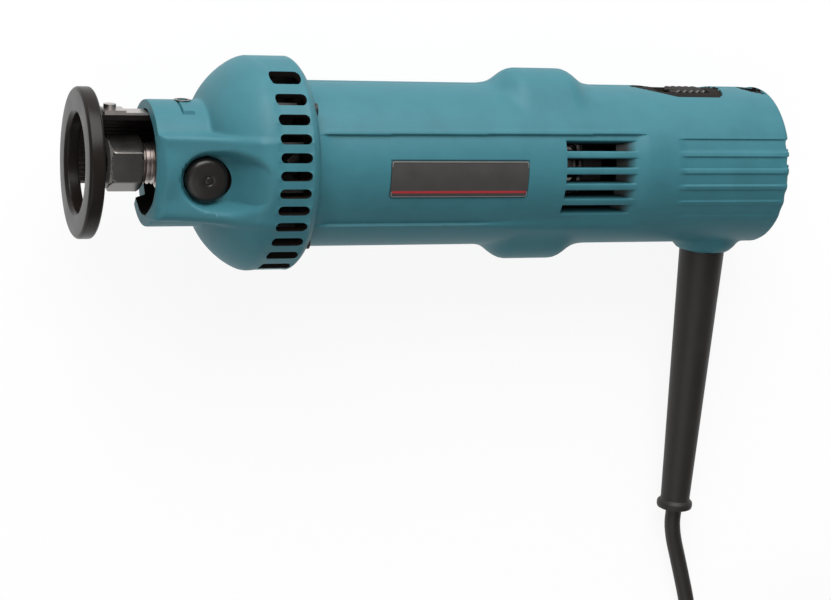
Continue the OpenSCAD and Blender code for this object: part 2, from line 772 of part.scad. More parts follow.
module exhaust_slots() intersection() {
    translate([0, 0, -collar_r]) linear_extrude(2 * collar_r) for (i = [0 : exhaust_count - 1])
        translate([exhaust_x, (i - (exhaust_count - 1) / 2) * exhaust_pitch]) {
            translate([exhaust_h / 2, -exhaust_h / 2])
                square([exhaust_end_x - exhaust_x - exhaust_h, exhaust_h]);
            for (e = [exhaust_h / 2, exhaust_end_x - exhaust_x - exhaust_h / 2]) translate([e, 0])
                circle(exhaust_h / 2);
        }
    ring_x(collar_x, chamber_r - flange_gap, collar_r + over, collar_len);
}

// The four places of the flange screws
module at_flange_screws() for (a = [45 : 90 : 315]) rotate([a, 0, 0]) translate([0, 0, flange_screw_at])
    children();

module front_housing() color(teal) laid() difference() {
    union() {
        nose_block();
        difference() {
            turned() polygon(concat([[0, dome_x]], dome_outline, [[0, barrel_x]]));
            rod_x(chamber_x, chamber_r, collar_len + dome_len);
            exhaust_slots();
        }
        at_flange_screws() rod_x(flange_x - flange_boss_len, flange_boss_r, flange_boss_len);
    }
    rod_x(nose_x - over, mouth_r, mouth_len + over);
    rod_x(nose_x, neck_r, seal_x - nose_x);
    sector_x(nose_x, sleeve_r - sleeve_t - free_gap, sleeve_r + free_gap, channel_end_x - nose_x,
        sleeve_from - sleeve_side_gap, sleeve_sweep + 2 * sleeve_side_gap);
    block([nose_x - over, strip_y - free_gap, -strip_half_w - free_gap],
        [strip_channel_end_x, strip_y + strip_t + free_gap, strip_half_w + free_gap]);
    block([nose_x - over, notch_low_y, -collar_r], [nose_x + notch_len, notch_high_y, -notch_z]);
    rod_y(clamp_x, 0, clamp_r + run_gap, nose_r + over);
    rod_y(clamp_x, clamp_head_y - run_gap, clamp_head_r + run_gap, nose_r);
    intersection() {
        ring_x(clamp_x - pocket_half_len, nose_r - pocket_depth, nose_r + over, 2 * pocket_half_len);
        block([0, 0, -pocket_half_w], [dome_x, nose_r + over, pocket_half_w]);
    }
    finger_scoop();
    rod_z(button_x, button_y, button_flange_z - button_travel - free_gap, button_r + button_gap, collar_r);
    rod_z(button_x, button_y, lock_spring_seat_z, lock_spring_r + spring_wire_r + free_gap, collar_r);
    rod_z(button_x, button_y, 0, pin_r + run_gap, collar_r);
    rod_x(seal_x, shoulder_r + seal_wall + seat_gap, seal_t + over);
    rod_x(front_x - run_gap, front_outer_r + seat_gap, front_w + 2 * over);
    rod_x(retainer_x, retainer_r + seat_gap, retainer_t + over);
    for (a = retainer_screw_angles) rotate([a, 0, 0]) translate([0, retainer_screw_at, 0])
        rod_x(retainer_x + retainer_t - retainer_screw_len, retainer_screw_r + seat_gap,
            retainer_screw_len + over);
    at_flange_screws() rod_x(flange_x - flange_boss_len + over, flange_screw_r + seat_gap, flange_boss_len);
}

module lock_button() color(black) laid() difference() {
    translate([button_x, button_y, 0]) rotate_extrude() polygon(concat(
        [[0, button_flange_z], [button_r, button_flange_z]],
        [for (a = [0 : 15 : 90])
            [button_r - button_edge_w * (1 - cos(a)), button_top_z - button_edge_h * (1 - sin(a))]],
        [[0, button_top_z]]));
    rod_z(button_x, button_y, button_flange_z - over, pin_r + seat_gap, 2 * over);
}

module lock_pin() color(steel) laid()
    rod_z(button_x, button_y, pin_tip_z, pin_r, button_flange_z + over - seat_gap - pin_tip_z);

module lock_spring() color(steel) laid() translate([button_x, button_y, lock_spring_seat_z + seat_gap])
    coil_spring(lock_spring_r, spring_wire_r, button_flange_z - lock_spring_seat_z - 2 * seat_gap,
        lock_spring_turns);

module dust_seal() color([0.5, 0.48, 0.44]) laid()
    ring_x(seal_x, shoulder_r + run_gap, shoulder_r + seal_wall, seal_t);

// Ball bearing: both races share one groove, and the balls run in it
front_ball_count = 8;
rear_ball_count = 7;
race_share = 0.72;
ball_share = 0.29;
function ball_r(bore_r, outer_r) = (outer_r - bore_r) * ball_share;
module race_groove(x, w, bore_r, outer_r) turned() translate([(bore_r + outer_r) / 2, x + w / 2])
    circle(ball_r(bore_r, outer_r) + run_gap);
module outer_race(x, w, bore_r, outer_r) color(steel) laid() difference() {
    ring_x(x, (bore_r + outer_r) / 2 + race_share * ball_r(bore_r, outer_r), outer_r, w);
    race_groove(x, w, bore_r, outer_r);
}
module inner_race(x, w, bore_r, outer_r) color(steel) laid() difference() {
    ring_x(x, bore_r, (bore_r + outer_r) / 2 - race_share * ball_r(bore_r, outer_r), w);
    race_groove(x, w, bore_r, outer_r);
}
module balls(x, w, bore_r, outer_r, count) color(steel) laid() for (i = [0 : count - 1])
    rotate([360 * i / count, 0, 0]) translate([x + w / 2, (bore_r + outer_r) / 2, 0])
        sphere(ball_r(bore_r, outer_r));

module front_bearing_outer() outer_race(front_x, front_w, front_bore_r, front_outer_r);
module front_bearing_inner() inner_race(front_x, front_w, front_bore_r, front_outer_r);
module front_bearing_balls() balls(front_x, front_w, front_bore_r, front_outer_r, front_ball_count);
module rear_bearing_outer() outer_race(rear_bearing_x, rear_w, rear_bore_r, rear_outer_r);
module rear_bearing_inner() inner_race(rear_bearing_x, rear_w, rear_bore_r, rear_outer_r);
module rear_bearing_balls() balls(rear_bearing_x, rear_w, rear_bore_r, rear_outer_r, rear_ball_count);
module rear_bearing_sleeve() color(black) laid()
    ring_x(rear_bearing_x, rear_outer_r + seat_gap, rear_outer_r + rear_sleeve_t, rear_w);

module bearing_retainer() color(iron) laid() difference() {
    ring_x(retainer_x, front_outer_r - retainer_lip, retainer_r, retainer_t);
    for (a = retainer_screw_angles) rotate([a, 0, 0]) translate([0, retainer_screw_at, 0])
        rod_x(retainer_x - over, retainer_screw_r + seat_gap, retainer_t + 2 * over);
}

module retainer_screws() color(steel) laid() for (a = retainer_screw_angles) rotate([a, 0, 0])
    translate([0, retainer_screw_at, 0]) {
        rod_x(chamber_x - retainer_screw_len + free_gap, retainer_screw_r, retainer_screw_len - free_gap);
        rod_x(chamber_x, retainer_head_r, retainer_head_t);
    }

module fan() color(dark) laid() difference() {
    union() {
        rod_x(fan_x, fan_hub_r, fan_end_x - fan_x);
        rod_x(fan_x, fan_r, fan_plate_t);
        for (i = [0 : fan_blades - 1]) rotate([360 * i / fan_blades, 0, 0])
            block([fan_x, fan_hub_r - over, -fan_blade_t / 2],
                [fan_end_x, fan_r - run_gap, fan_blade_t / 2]);
    }
    rod_x(fan_x - over, shaft_r + seat_gap, fan_end_x - fan_x + 2 * over);
}

module air_baffle() color(black) laid()
    ring_x(flange_x + free_gap, baffle_hole_r, barrel_in_r - seat_gap, baffle_t);

module armature_core() color(iron) laid() along_x(stack_x, stack_len) difference() {
    circle(armature_r);
    circle(shaft_r + seat_gap);
    for (i = [0 : armature_slots - 1]) rotate(360 * i / armature_slots) {
        translate([armature_slot_r, -armature_slot_w / 2])
            square([armature_r - armature_tip_t - armature_slot_r, armature_slot_w]);
        translate([armature_slot_r, -armature_mouth_w / 2]) square([armature_r, armature_mouth_w]);
    }
}

module armature_windings() color(copper) laid() {
    for (i = [0 : armature_slots - 1]) rotate([360 * i / armature_slots, 0, 0])
        block([stack_x - over, armature_slot_r + window_gap, window_gap - armature_slot_w / 2],
            [stack_x + stack_len + over, armature_r - armature_tip_t - window_gap,
                armature_slot_w / 2 - window_gap]);
    for (x = [stack_x - head_len, stack_x + stack_len]) turned() polygon([
        [head_in_r, x], [head_out_r - head_edge, x], [head_out_r, x + head_edge],
        [head_out_r, x + head_len - head_edge], [head_out_r - head_edge, x + head_len],
        [head_in_r, x + head_len]]);
}

module commutator() color(copper) laid() difference() {
    union() {
        rod_x(commutator_x, commutator_r, commutator_len);
        rod_x(commutator_x - riser_len, commutator_r + riser_extra, riser_len);
    }
    rod_x(commutator_x - riser_len - over, shaft_r + seat_gap, commutator_len + riser_len + 2 * over);
    for (i = [0 : commutator_bars - 1]) rotate([360 * i / commutator_bars, 0, 0])
        block([commutator_x, commutator_r - bar_depth, -bar_gap / 2],
            [brush_x + commutator_len, commutator_r + over, bar_gap / 2]);
}

// A wedge between two angles, measured from Z towards Y
module wedge(r, from, to) polygon([[0, 0], for (k = [0 : 4]) let (a = from + (to - from) * k / 4)
    r * [sin(a), cos(a)]]);
module band(r_in, r_out, from, to) intersection() {
    difference() {
        circle(r_out);
        circle(r_in);
    }
    wedge(2 * r_out, from, to);
}
pole_neck = 25;
pole_shoe = 47;
coil_limit = 82;

module stator_core() color(iron) laid() along_x(stack_x, stack_len) difference() {
    circle(stator_r);
    circle(stator_bore_r);
    for (s = [90, 270]) {
        band(stator_bore_r + pole_shoe_t, window_r, s - 90 + pole_neck, s + 90 - pole_neck);
        band(stator_bore_r - over, stator_bore_r + pole_shoe_t + over, s - 90 + pole_shoe,
            s + 90 - pole_shoe);
    }
}

module field_coils() color(copper) laid() for (s = [0, 180]) {
    coil_in_r = stator_bore_r + pole_shoe_t + window_gap;
    for (v = [-1, 1]) along_x(stack_x - head_len, stack_len + 2 * head_len)
        band(coil_in_r, window_r - window_gap, s + v * (pole_neck + 2), s + v * coil_limit);
    for (x = [stack_x - head_len, stack_x + stack_len + window_gap]) along_x(x, head_len - window_gap)
        band(coil_in_r, window_r - window_gap, s - coil_limit, s + coil_limit);
}

// Brush set on one side of the commutator, drawn for the top and turned over for the bottom
module on_side(side) laid() mirror([0, side, 0]) children();
holder_half_w = brush_w / 2 + brush_gap + holder_wall;
holder_half_d = brush_d / 2 + brush_gap + holder_wall;
module brush_holder(side) color(brass) on_side(side) difference() {
    block([brush_x - holder_half_w, holder_foot_y, -holder_half_d],
        [brush_x + holder_half_w, holder_end_y + holder_wall, holder_half_d]);
    block([brush_x - brush_w / 2 - brush_gap, holder_foot_y - over, -brush_d / 2 - brush_gap],
        [brush_x + brush_w / 2 + brush_gap, holder_end_y, brush_d / 2 + brush_gap]);
}
module brush(side) color(dark) on_side(side) difference() {
    block([brush_x - brush_w / 2, commutator_r - over, -brush_d / 2],
        [brush_x + brush_w / 2, brush_end_y, brush_d / 2]);
    rod_x(brush_x - brush_w, brush_foot_y, 2 * brush_w);
}
module brush_spring(side) color(steel) on_side(side) translate([brush_x, brush_end_y + seat_gap, 0])
    rotate([-90, 0, 0])
    coil_spring(brush_spring_r, spring_wire_r, holder_end_y - brush_end_y - 2 * seat_gap,
        brush_spring_turns);
module brush_holder_top() brush_holder(0);
module brush_holder_bottom() brush_holder(1);
module brush_top() brush(0);
module brush_bottom() brush(1);
module brush_spring_top() brush_spring(0);
module brush_spring_bottom() brush_spring(1);

// Barrel form, shrunk by an even amount for its hollow
module barrel_form(shrink, x, end_x) {
    r = body_r - shrink;
    dome_at = end_x - end_dome_r;
    corner_x = end_corner_x(r, end_x);
    lean = atan2(r - rear_round, corner_x - dome_at);
    turned() polygon(concat([[0, x], [r, x]],
        [for (k = [0 : round_steps]) let (a = 90 + (lean - 90) * k / round_steps)
            [r - rear_round + rear_round * sin(a), corner_x + rear_round * cos(a)]],
        [for (k = [1 : round_steps]) let (a = lean * (1 - k / round_steps))
            [end_dome_r * sin(a), dome_at + end_dome_r * cos(a)]]));
    for (s = [-1, 1]) translate([0, s * hump_axis_y, 0]) turned() polygon(concat(
        [[0, hump_x - hump_len / 2 - hump_slope]],
        [for (k = [0 : round_steps]) hump_at(-1, k / round_steps, shrink)],
        [for (k = [round_steps : -1 : 0]) hump_at(1, k / round_steps, shrink)],
        [[0, hump_x + hump_len / 2 + hump_slope]]));
}
// X of the middle of the rounded corner between a barrel of this radius and the dome of its end
function end_corner_x(r, end_x) = end_x - end_dome_r
    + sqrt(pow(end_dome_r - rear_round, 2) - pow(r - rear_round, 2));
function hump_at(side, t, shrink) = [
    hump_foot_r + (hump_lobe_r - hump_foot_r) * (1 - cos(180 * t)) / 2 - shrink,
    hump_x + side * (hump_len / 2 + hump_slope * (1 - t))];

module cord_boss() {
    rod_y(guard_x, -boss_y + boss_r - boss_tip_r, boss_r, body_r / 2);
    translate([guard_x, -boss_y, 0]) rotate([-90, 0, 0])
        cylinder(r1 = boss_tip_r, r2 = boss_r, h = boss_r - boss_tip_r + seat_gap);
}

module near_half() block([0, -collar_r, 0], [rear_x + over, collar_r, collar_r]);

// Ribs, seats and bosses inside one half
module inner_ribs() intersection() {
    barrel_form(wall - over / 2, flange_x, rear_x - rear_wall + over / 2);
    near_half();
    union() {
        for (x = [stack_x - stop_len - seat_gap, stack_x + stack_len + seat_gap])
            ring_x(x, barrel_in_r - stop_depth, body_r, stop_len);
        ring_x(rear_bearing_x - 2 * seat_lip, seat_r, seat_r + seat_ring_t, rear_w + 4 * seat_lip);
        for (x = [rear_bearing_x - 2 * seat_lip, rear_bearing_x + rear_w + seat_gap])
            ring_x(x, rear_outer_r - 1, seat_r + over, 2 * seat_lip - seat_gap);
        for (a = [45, 135]) rotate([a, 0, 0])
            block([rear_bearing_x, seat_r + over, -seat_ring_t / 2],
                [rear_bearing_x + rear_w, body_r, seat_ring_t / 2]);
        for (p = shell_screw_at) rod_z(p.x, p.y, 0, shell_boss_r, body_r);
        for (s = [0, 1]) mirror([0, s, 0])
            block([brush_x - holder_half_w, holder_foot_y + holder_rib_in, holder_half_d + seat_gap],
                [brush_x + holder_half_w, holder_end_y - holder_rib_end, body_r]);
        for (x = [switch_x + holding_rib_in, switch_x + switch_len - holding_rib_in - holding_rib_t])
            block([x, switch_top_y - switch_h + over, switch_half_w + seat_gap],
                [x + holding_rib_t, switch_top_y - over, body_r]);
        translate([capacitor_x + capacitor_len / 2, capacitor_y, 0])
            block([-holding_rib_t / 2, -capacitor_r / 2, capacitor_r + seat_gap],
                [holding_rib_t / 2, capacitor_r / 2, body_r]);
        block([recess_x - over, recess_floor_y - recess_pad_t, 0],
            [recess_mid_x + recess_r + over, body_r, recess_r + recess_pad_side]);
    }
}

module flute_cuts() for (i = [0 : flute_count - 1]) intersection() {
    block([flute_x, flute_ys[i] - flute_h / 2, 0], [rear_x + over, flute_ys[i] + flute_h / 2, collar_r]);
    difference() {
        rod_x(flute_x - over, collar_r, flute_len + 2 * over);
        barrel_form(flute_depth, flute_x - 2 * over,
            rear_x - (i < flute_count - deep_flutes ? flute_depth : flute_end_depth));
    }
}

module vent_cuts() for (y = flute_ys) translate([0, 0, sqrt(panel_r * panel_r - y * y) - panel_r])
    along_y(y - vent_h / 2, vent_h) polygon([
        [vent_x, panel_r - 2 * wall], [vent_x, collar_r],
        [vent_x + vent_len, collar_r], [vent_x + vent_len, panel_r],
        [vent_x + vent_len - vent_ramp, panel_r - wall],
        [vent_x + vent_len - vent_ramp, panel_r - 2 * wall]]);

// One half of the barrel, drawn on the near side
module half_shell() difference() {
    union() {
        difference() {
            intersection() {
                union() {
                    barrel_form(0, flange_x, rear_x);
                    rod_x(flange_x, flange_r, flange_t);
                    cord_boss();
                }
                near_half();
            }
            barrel_form(wall, flange_x - over, rear_x - rear_wall);
        }
        inner_ribs();
    }
    intersection() {
        block([panel_x, -panel_half_h, 0], [panel_x + panel_len, panel_half_h, collar_r]);
        ring_x(panel_x - over, panel_r, collar_r, panel_len + 2 * over);
    }
    intersection() {
        block([plate_x - plate_frame_gap, -plate_half_h - plate_frame_gap, 0],
            [plate_x + plate_len + plate_frame_gap, plate_half_h + plate_frame_gap, collar_r]);
        ring_x(plate_x - over, panel_r - plate_pocket, collar_r, plate_len + 2 * over);
    }
    vent_cuts();
    flute_cuts();
    along_y(recess_floor_y, body_r) {
        translate([recess_mid_x, 0]) circle(recess_r);
        polygon([[recess_x, 0], [recess_mid_x - recess_taper * recess_r, recess_r - recess_narrow],
            [recess_mid_x, recess_r], [recess_mid_x, -recess_r],
            [recess_mid_x - recess_taper * recess_r, recess_narrow - recess_r]]);
    }
    block([stem_x - switch_travel - free_gap, 0, -stem_half_w - free_gap],
        [stem_x + stem_len + free_gap, body_r, stem_half_w + free_gap]);
    block([rear_slot_x, body_r / 2, -rear_slot_half_w],
        [rear_slot_x + rear_slot_len, body_r + over, rear_slot_half_w]);
    rod_y(guard_x, -boss_y - over, guard_r + seat_gap, boss_y);
    at_flange_screws() {
        rod_x(flange_x - over, flange_screw_r + seat_gap, flange_t + 2 * over);
        rod_x(barrel_x - flange_head_t, flange_head_r + seat_gap, flange_head_t + over);
    }
}

module near_shell() color(teal) laid() difference() {
    union() {
        half_shell();
        intersection() {
            block([guard_x - clamp_half_w, -clamp_y, cord_r + seat_gap],
                [guard_x + clamp_half_w, clamp_h - clamp_y, body_r]);
            barrel_form(wall - over / 2, flange_x, rear_x - rear_wall);
        }
    }
    for (p = shell_screw_at) rod_z(p.x, p.y, -over, shell_screw_r + seat_gap,
        shell_screw_len - shell_head_z + 2 * over);
    for (s = [-1, 1]) rod_z(guard_x + s * clamp_screw_at, clamp_h / 2 - clamp_y, 0,
        clamp_screw_r + seat_gap, clamp_screw_len);
}

module far_shell() color(teal) laid() difference() {
    mirror([0, 0, 1]) half_shell();
    for (p = shell_screw_at) {
        rod_z(p.x, p.y, -body_r, shell_screw_r + seat_gap, body_r + over);
        rod_z(p.x, p.y, -collar_r, shell_head_r + seat_gap, collar_r - shell_head_z);
    }
}

module shell_screws() color(dark) laid() for (p = shell_screw_at) {
    rod_z(p.x, p.y, -shell_head_z, shell_screw_r, shell_screw_len);
    rod_z(p.x, p.y, -shell_head_z - shell_head_t, shell_head_r, shell_head_t);
}

module flange_screws() color(dark) laid() at_flange_screws() {
    rod_x(flange_x - flange_boss_len + 2 * over, flange_screw_r, flange_boss_len + flange_t - 2 * over);
    rod_x(barrel_x - flange_head_t, flange_head_r, flange_head_t);
}

module name_plate() intersection() {
    block([plate_x, -plate_half_h, 0], [plate_x + plate_len, plate_half_h, collar_r]);
    ring_x(plate_x - over, panel_r - plate_pocket + seat_gap, panel_r - plate_pocket + plate_t,
        plate_len + 2 * over);
}
module near_plate() color(dark) laid() name_plate();
module far_plate() color(dark) laid() mirror([0, 0, 1]) name_plate();

module switch_slider() color(black) laid() difference() {
    union() {
        along_y(knob_floor_y, knob_top_y - knob_floor_y) translate([knob_x + knob_len / 2, 0])
            rounded_box_outline(knob_len / 2, knob_half_w, knob_corner);
        block([stem_x, link_y + link_t, -stem_half_w],
            [stem_x + stem_len, knob_floor_y + over, stem_half_w]);
    }
    for (i = [1 : knob_ridges - 1]) translate([knob_x + i * knob_len / knob_ridges, knob_top_y, 0])
        rotate([0, 0, knob_groove_lean]) cube([knob_groove.x, knob_groove.y, collar_r], center = true);
}

module switch_link() color(dark) laid()
    block([stem_x - stem_len / 2, link_y, -link_half_w],
        [stem_x + 1.5 * stem_len, link_y + link_t, link_half_w]);

module switch_body() color(black) laid()
    block([switch_x, switch_top_y - switch_h, -switch_half_w],
        [switch_x + switch_len, switch_top_y, switch_half_w]);

module capacitor() color(brass) laid()
    translate([0, capacitor_y, 0]) rod_x(capacitor_x, capacitor_r, capacitor_len);

module cord_core() color(black) laid() rod_y(guard_x, -guard_reach, cord_r, guard_reach - cord_inner_y);

module cord_clamp() color(iron) laid() difference() {
    block([guard_x - clamp_half_w, -clamp_y, -cord_r - seat_gap - clamp_t],
        [guard_x + clamp_half_w, clamp_h - clamp_y, -cord_r - seat_gap]);
    for (s = [-1, 1]) rod_z(guard_x + s * clamp_screw_at, clamp_h / 2 - clamp_y, -collar_r,
        clamp_screw_r + seat_gap, collar_r);
}

module cord_clamp_screws() color(steel) laid() for (s = [-1, 1]) {
    z = -cord_r - seat_gap - clamp_t;
    rod_z(guard_x + s * clamp_screw_at, clamp_h / 2 - clamp_y, z, clamp_screw_r, clamp_screw_len);
    rod_z(guard_x + s * clamp_screw_at, clamp_h / 2 - clamp_y, z - clamp_screw_r, 2 * clamp_screw_r,
        clamp_screw_r);
}

module cord_guard() color(black) laid() translate([guard_x, 0, 0]) rotate([90, 0, 0]) rotate_extrude()
    polygon([
        [cord_r + seat_gap, guard_flange_y - guard_flange_t],
        [guard_flange_r, guard_flange_y - guard_flange_t],
        [guard_flange_r, guard_flange_y], [guard_r, guard_flange_y], [guard_r, boss_y],
        [guard_tip_r, guard_reach - guard_ring_t - guard_ring_slope],
        [guard_ring_r, guard_reach - guard_ring_t], [guard_ring_r, guard_reach - guard_ring_bevel],
        [guard_ring_r - guard_ring_bevel, guard_reach], [cord_r + seat_gap, guard_reach]]);

module cord_lead() color(black) tube(lead_path, cord_r, 10);
module cord_coil() color(black) tube(coil_path, cord_r, 6);
module cord_tail() color(black) tube(tail_path, cord_r, 10);

// The tie goes round the turns where they pass its place, a little past the start of the coil
tie_radii = [for (k = [0 : coil_layers * coil_turns - 1]) coil_radius(k + tie_turn / 360)];
tie_in_r = min(tie_radii) - cord_r - tie_gap;
tie_out_r = max(tie_radii) + cord_r + tie_gap;
tie_mid_z = (coil_base_z + (coil_layers - 1) * coil_pitch + cord_r + tie_gap + tie_t) / 2;
tie_corner = 2.5;
module coil_tie() color(dark) translate([coil_center.x, coil_center.y, tie_mid_z])
    rotate([0, 0, coil_start + tie_turn]) rotate([90, 0, 0])
    translate([(tie_in_r + tie_out_r) / 2, 0, -tie_w / 2]) linear_extrude(tie_w) difference() {
        rounded_box_outline((tie_out_r - tie_in_r) / 2 + tie_t, tie_mid_z, tie_corner + tie_t);
        rounded_box_outline((tie_out_r - tie_in_r) / 2, tie_mid_z - tie_t, tie_corner);
    }

module at_plug() translate(plug_at) rotate([0, 0, plug_turn]) children();
module plug_body() color(black) at_plug() difference() {
    union() {
        rotate([0, 90, 0])
            cylinder(r1 = plug_neck_r - plug_neck_taper, r2 = plug_neck_r, h = plug_neck_len + over);
        along_x(plug_neck_len, plug_len) rounded_box_outline(plug_w / 2, plug_h / 2, plug_corner);
    }
    blades(-blade_seat, over, seat_gap);
}
module plug_blades() color(brass) at_plug() blades(seat_gap - blade_seat, blade_len, 0);
// Both blades between two distances from the plug's face, grown by a clearance
module blades(from, to, gap) for (s = [-1, 1])
    translate([plug_neck_len + plug_len, s * blade_gap / 2, 0])
        block([from, -blade_t / 2 - gap, -blade_w / 2 - gap], [to, blade_t / 2 + gap, blade_w / 2 + gap]);

guide_base();
guide_strip();
guide_strip_screw();
guide_clamp_screw();
collet_nut();
collet();
spindle();
front_housing();
lock_button();
lock_pin();
lock_spring();
dust_seal();
front_bearing_outer();
front_bearing_inner();
front_bearing_balls();
bearing_retainer();
retainer_screws();
fan();
air_baffle();
armature_core();
armature_windings();
commutator();
stator_core();
field_coils();
rear_bearing_outer();
rear_bearing_inner();
rear_bearing_balls();
rear_bearing_sleeve();
brush_holder_top();
brush_holder_bottom();
brush_top();
brush_bottom();
brush_spring_top();
brush_spring_bottom();
near_shell();
far_shell();
shell_screws();
flange_screws();
near_plate();
far_plate();
switch_slider();
switch_link();
switch_body();
capacitor();
cord_core();
cord_clamp();
cord_clamp_screws();
cord_guard();
cord_lead();
cord_coil();
cord_tail();
coil_tie();
plug_body();
plug_blades();
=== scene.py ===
import json
import math
from types import SimpleNamespace
import bpy
import numpy as np
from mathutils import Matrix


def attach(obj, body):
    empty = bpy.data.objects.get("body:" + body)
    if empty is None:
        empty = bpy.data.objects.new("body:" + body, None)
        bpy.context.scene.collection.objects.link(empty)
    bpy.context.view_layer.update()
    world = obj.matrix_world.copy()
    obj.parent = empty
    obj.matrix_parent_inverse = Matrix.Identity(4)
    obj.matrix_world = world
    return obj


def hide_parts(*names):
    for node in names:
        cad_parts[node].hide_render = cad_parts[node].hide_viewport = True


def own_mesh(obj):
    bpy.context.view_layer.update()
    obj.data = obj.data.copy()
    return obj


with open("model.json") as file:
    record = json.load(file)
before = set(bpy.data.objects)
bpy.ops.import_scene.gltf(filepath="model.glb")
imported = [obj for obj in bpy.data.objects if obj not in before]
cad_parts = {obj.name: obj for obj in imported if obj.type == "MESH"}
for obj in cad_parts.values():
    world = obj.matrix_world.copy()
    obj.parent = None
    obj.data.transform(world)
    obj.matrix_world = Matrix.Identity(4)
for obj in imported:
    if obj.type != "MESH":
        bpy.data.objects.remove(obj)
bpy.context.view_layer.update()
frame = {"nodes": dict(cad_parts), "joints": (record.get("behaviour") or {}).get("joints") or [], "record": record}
scene = bpy.context.scene
scene.view_settings.view_transform = "Standard"

# The tool's axes in the row frame, read from its joints: X to the rear, Y to the switch side, Z to the near side
joints = {joint["name"]: joint for joint in frame["joints"]}
alongX = np.array(joints["spindle_spin"]["axis"], float)
alongY = np.array(joints["clamp_turn"]["axis"], float)
axes = np.array([alongX / np.linalg.norm(alongX), alongY / np.linalg.norm(alongY), [0, 0, 0]])
axes[2] = np.cross(axes[0], axes[1])
jointSetBack = 0.1  # metres from the disc's face to the spindle's joint
discFace = np.array(joints["spindle_spin"]["pos_m"], float) - jointSetBack * axes[0]


def place(points):
    # millimetres along the tool's axes to metres in the row frame
    return discFace + np.asarray(points, float) @ axes / 1000


def stacked(*parts):
    # coordinates of different shapes, stretched over one grid and joined to points
    return np.stack(np.broadcast_arrays(*parts), -1)


def gridFaces(lines, stations, wrap=False, ends=False):
    # quads of a grid of lines by stations; wrap joins the last line to the first, ends the last station to the first
    i = np.arange(lines if wrap else lines - 1)[:, None]
    j = np.arange(stations if ends else stations - 1)[None]
    here, there, after = i * stations, (i + 1) % lines * stations, (j + 1) % stations
    return stacked(here + j, there + j, there + after, here + after).reshape(-1, 4)


def shellFaces(lines, stations, keep=None, wrap=False):
    # kept faces of an outer grid, the same reversed on an inner grid, and a rim along each edge that one kept face has
    outer = gridFaces(lines, stations, wrap)
    if keep is not None:
        outer = outer[keep.reshape(-1)]
    count = lines * stations
    edges = np.vstack([outer[:, [0, 1]], outer[:, [1, 2]], outer[:, [2, 3]], outer[:, [3, 0]]])
    rim = edges[~np.isin(edges[:, 0] * count + edges[:, 1], edges[:, 1] * count + edges[:, 0])]
    walls = np.stack([rim[:, 1], rim[:, 0], rim[:, 0] + count, rim[:, 1] + count], -1)
    return np.vstack([outer, outer[:, ::-1] + count, walls])


def meshPiece(name, points, faces, sharp=32, inks=None, deep=None):
    # points are welded first, so that poles and seams close; faces that shrink to a line go, and all turn outwards
    points = np.asarray(points, float).reshape(-1, 3)
    unique, index = np.unique(np.round(points, 7), axis=0, return_inverse=True)
    index = index.reshape(-1)
    faces = index[faces]
    apart = faces != np.roll(faces, -1, axis=1)
    four, three = apart.all(1), apart.sum(1) == 3
    quads, threes = faces[four], faces[three][apart[three]].reshape(-1, 3)
    triangles = np.vstack([quads[:, :3], quads[:, [0, 2, 3]], threes])
    a, b, c = (unique[triangles[:, k]] - unique[0] for k in range(3))
    if np.einsum("ij,ij->", a, np.cross(b, c)) < 0:
        quads, threes = quads[:, ::-1], threes[:, ::-1]
    mesh = bpy.data.meshes.new(name)
    mesh.from_pydata(unique.tolist(), [], quads.tolist() + threes.tolist())
    if inks is not None:
        mesh.polygons.foreach_set("material_index", np.r_[inks[four], inks[three]].astype(np.int32))
    # deep is kept as a point attribute, which the materials turn into painted shade
    if deep is not None:
        shade = np.zeros(len(unique))
        shade[index] = np.asarray(deep).reshape(-1)
        mesh.attributes.new("deep", "FLOAT", "POINT").data.foreach_set("value", shade)
    mesh.validate()
    mesh.shade_smooth()
    mesh.set_sharp_from_angle(angle=math.radians(sharp))
    piece = bpy.data.objects.new(name, mesh)
    scene.collection.objects.link(piece)
    return piece


def aroundX(x, r, angle):
    # points round the spindle: X, and a radius turned from the near side to the switch side
    return stacked(x, r * np.sin(angle), r * np.cos(angle))


def shellPiece(name, outer, inner, keep=None, wrap=False, sharp=40, side=1, paintedShadeFaces=None, paintedShadeRim=None, deep=None):
    # a closed shell between two grids; given a rim test, its inside, the masked pit faces and the rims that the test
    # picks take a second material, a near black that is painted shade
    both = np.concatenate([outer, inner])
    faces, inks = shellFaces(*outer.shape[:2], keep, wrap), None
    if paintedShadeRim:
        count = keep.sum()
        inks = np.ones(len(faces), int)
        inks[:count] = 0 if paintedShadeFaces is None else paintedShadeFaces[keep]
        inks[2 * count:] = paintedShadeRim(*both.reshape(-1, 3)[faces[2 * count:]].mean(1)[:, :2].T)
    return meshPiece(name, place(both * (1, 1, side)), faces, sharp, inks, deep)


def standAt(thing, across, up, back, where):
    # turns an object's X, Y and Z along three directions and stands it at a point
    stand = np.eye(4)
    stand[:3, 0], stand[:3, 1], stand[:3, 2], stand[:3, 3] = across, up, back, where
    thing.matrix_world = stand.T.tolist()
    scene.collection.objects.link(thing)


# Camera at the photo's angle
view = {
    "place": (-0.24106, 0.02634, 0.74836), "back": (-0.30812, 0.09823, 0.94626), "up": (0.01622, 0.99505, -0.09801),
    "lens": 93.36, "sensor": 36,
}
lens = bpy.data.cameras.new("photoCamera")
lens.lens, lens.sensor_width, lens.sensor_fit = view["lens"], view["sensor"], "HORIZONTAL"
lens.clip_start, lens.clip_end = 0.01, 20
camera = bpy.data.objects.new("photoCamera", lens)
standAt(camera, np.cross(view["up"], view["back"]), view["up"], view["back"], view["place"])
scene.camera = camera
print("camera set")

# Finishes
# dark is the colour of the painted shade that the attribute deep mixes in
grain = {
    "broad": 22, "bump": 0.5, "toneFrom": 0.3, "toneTo": 0.7, "glossSpread": 0.08, "dark": (0.004, 0.005, 0.005, 1),
}


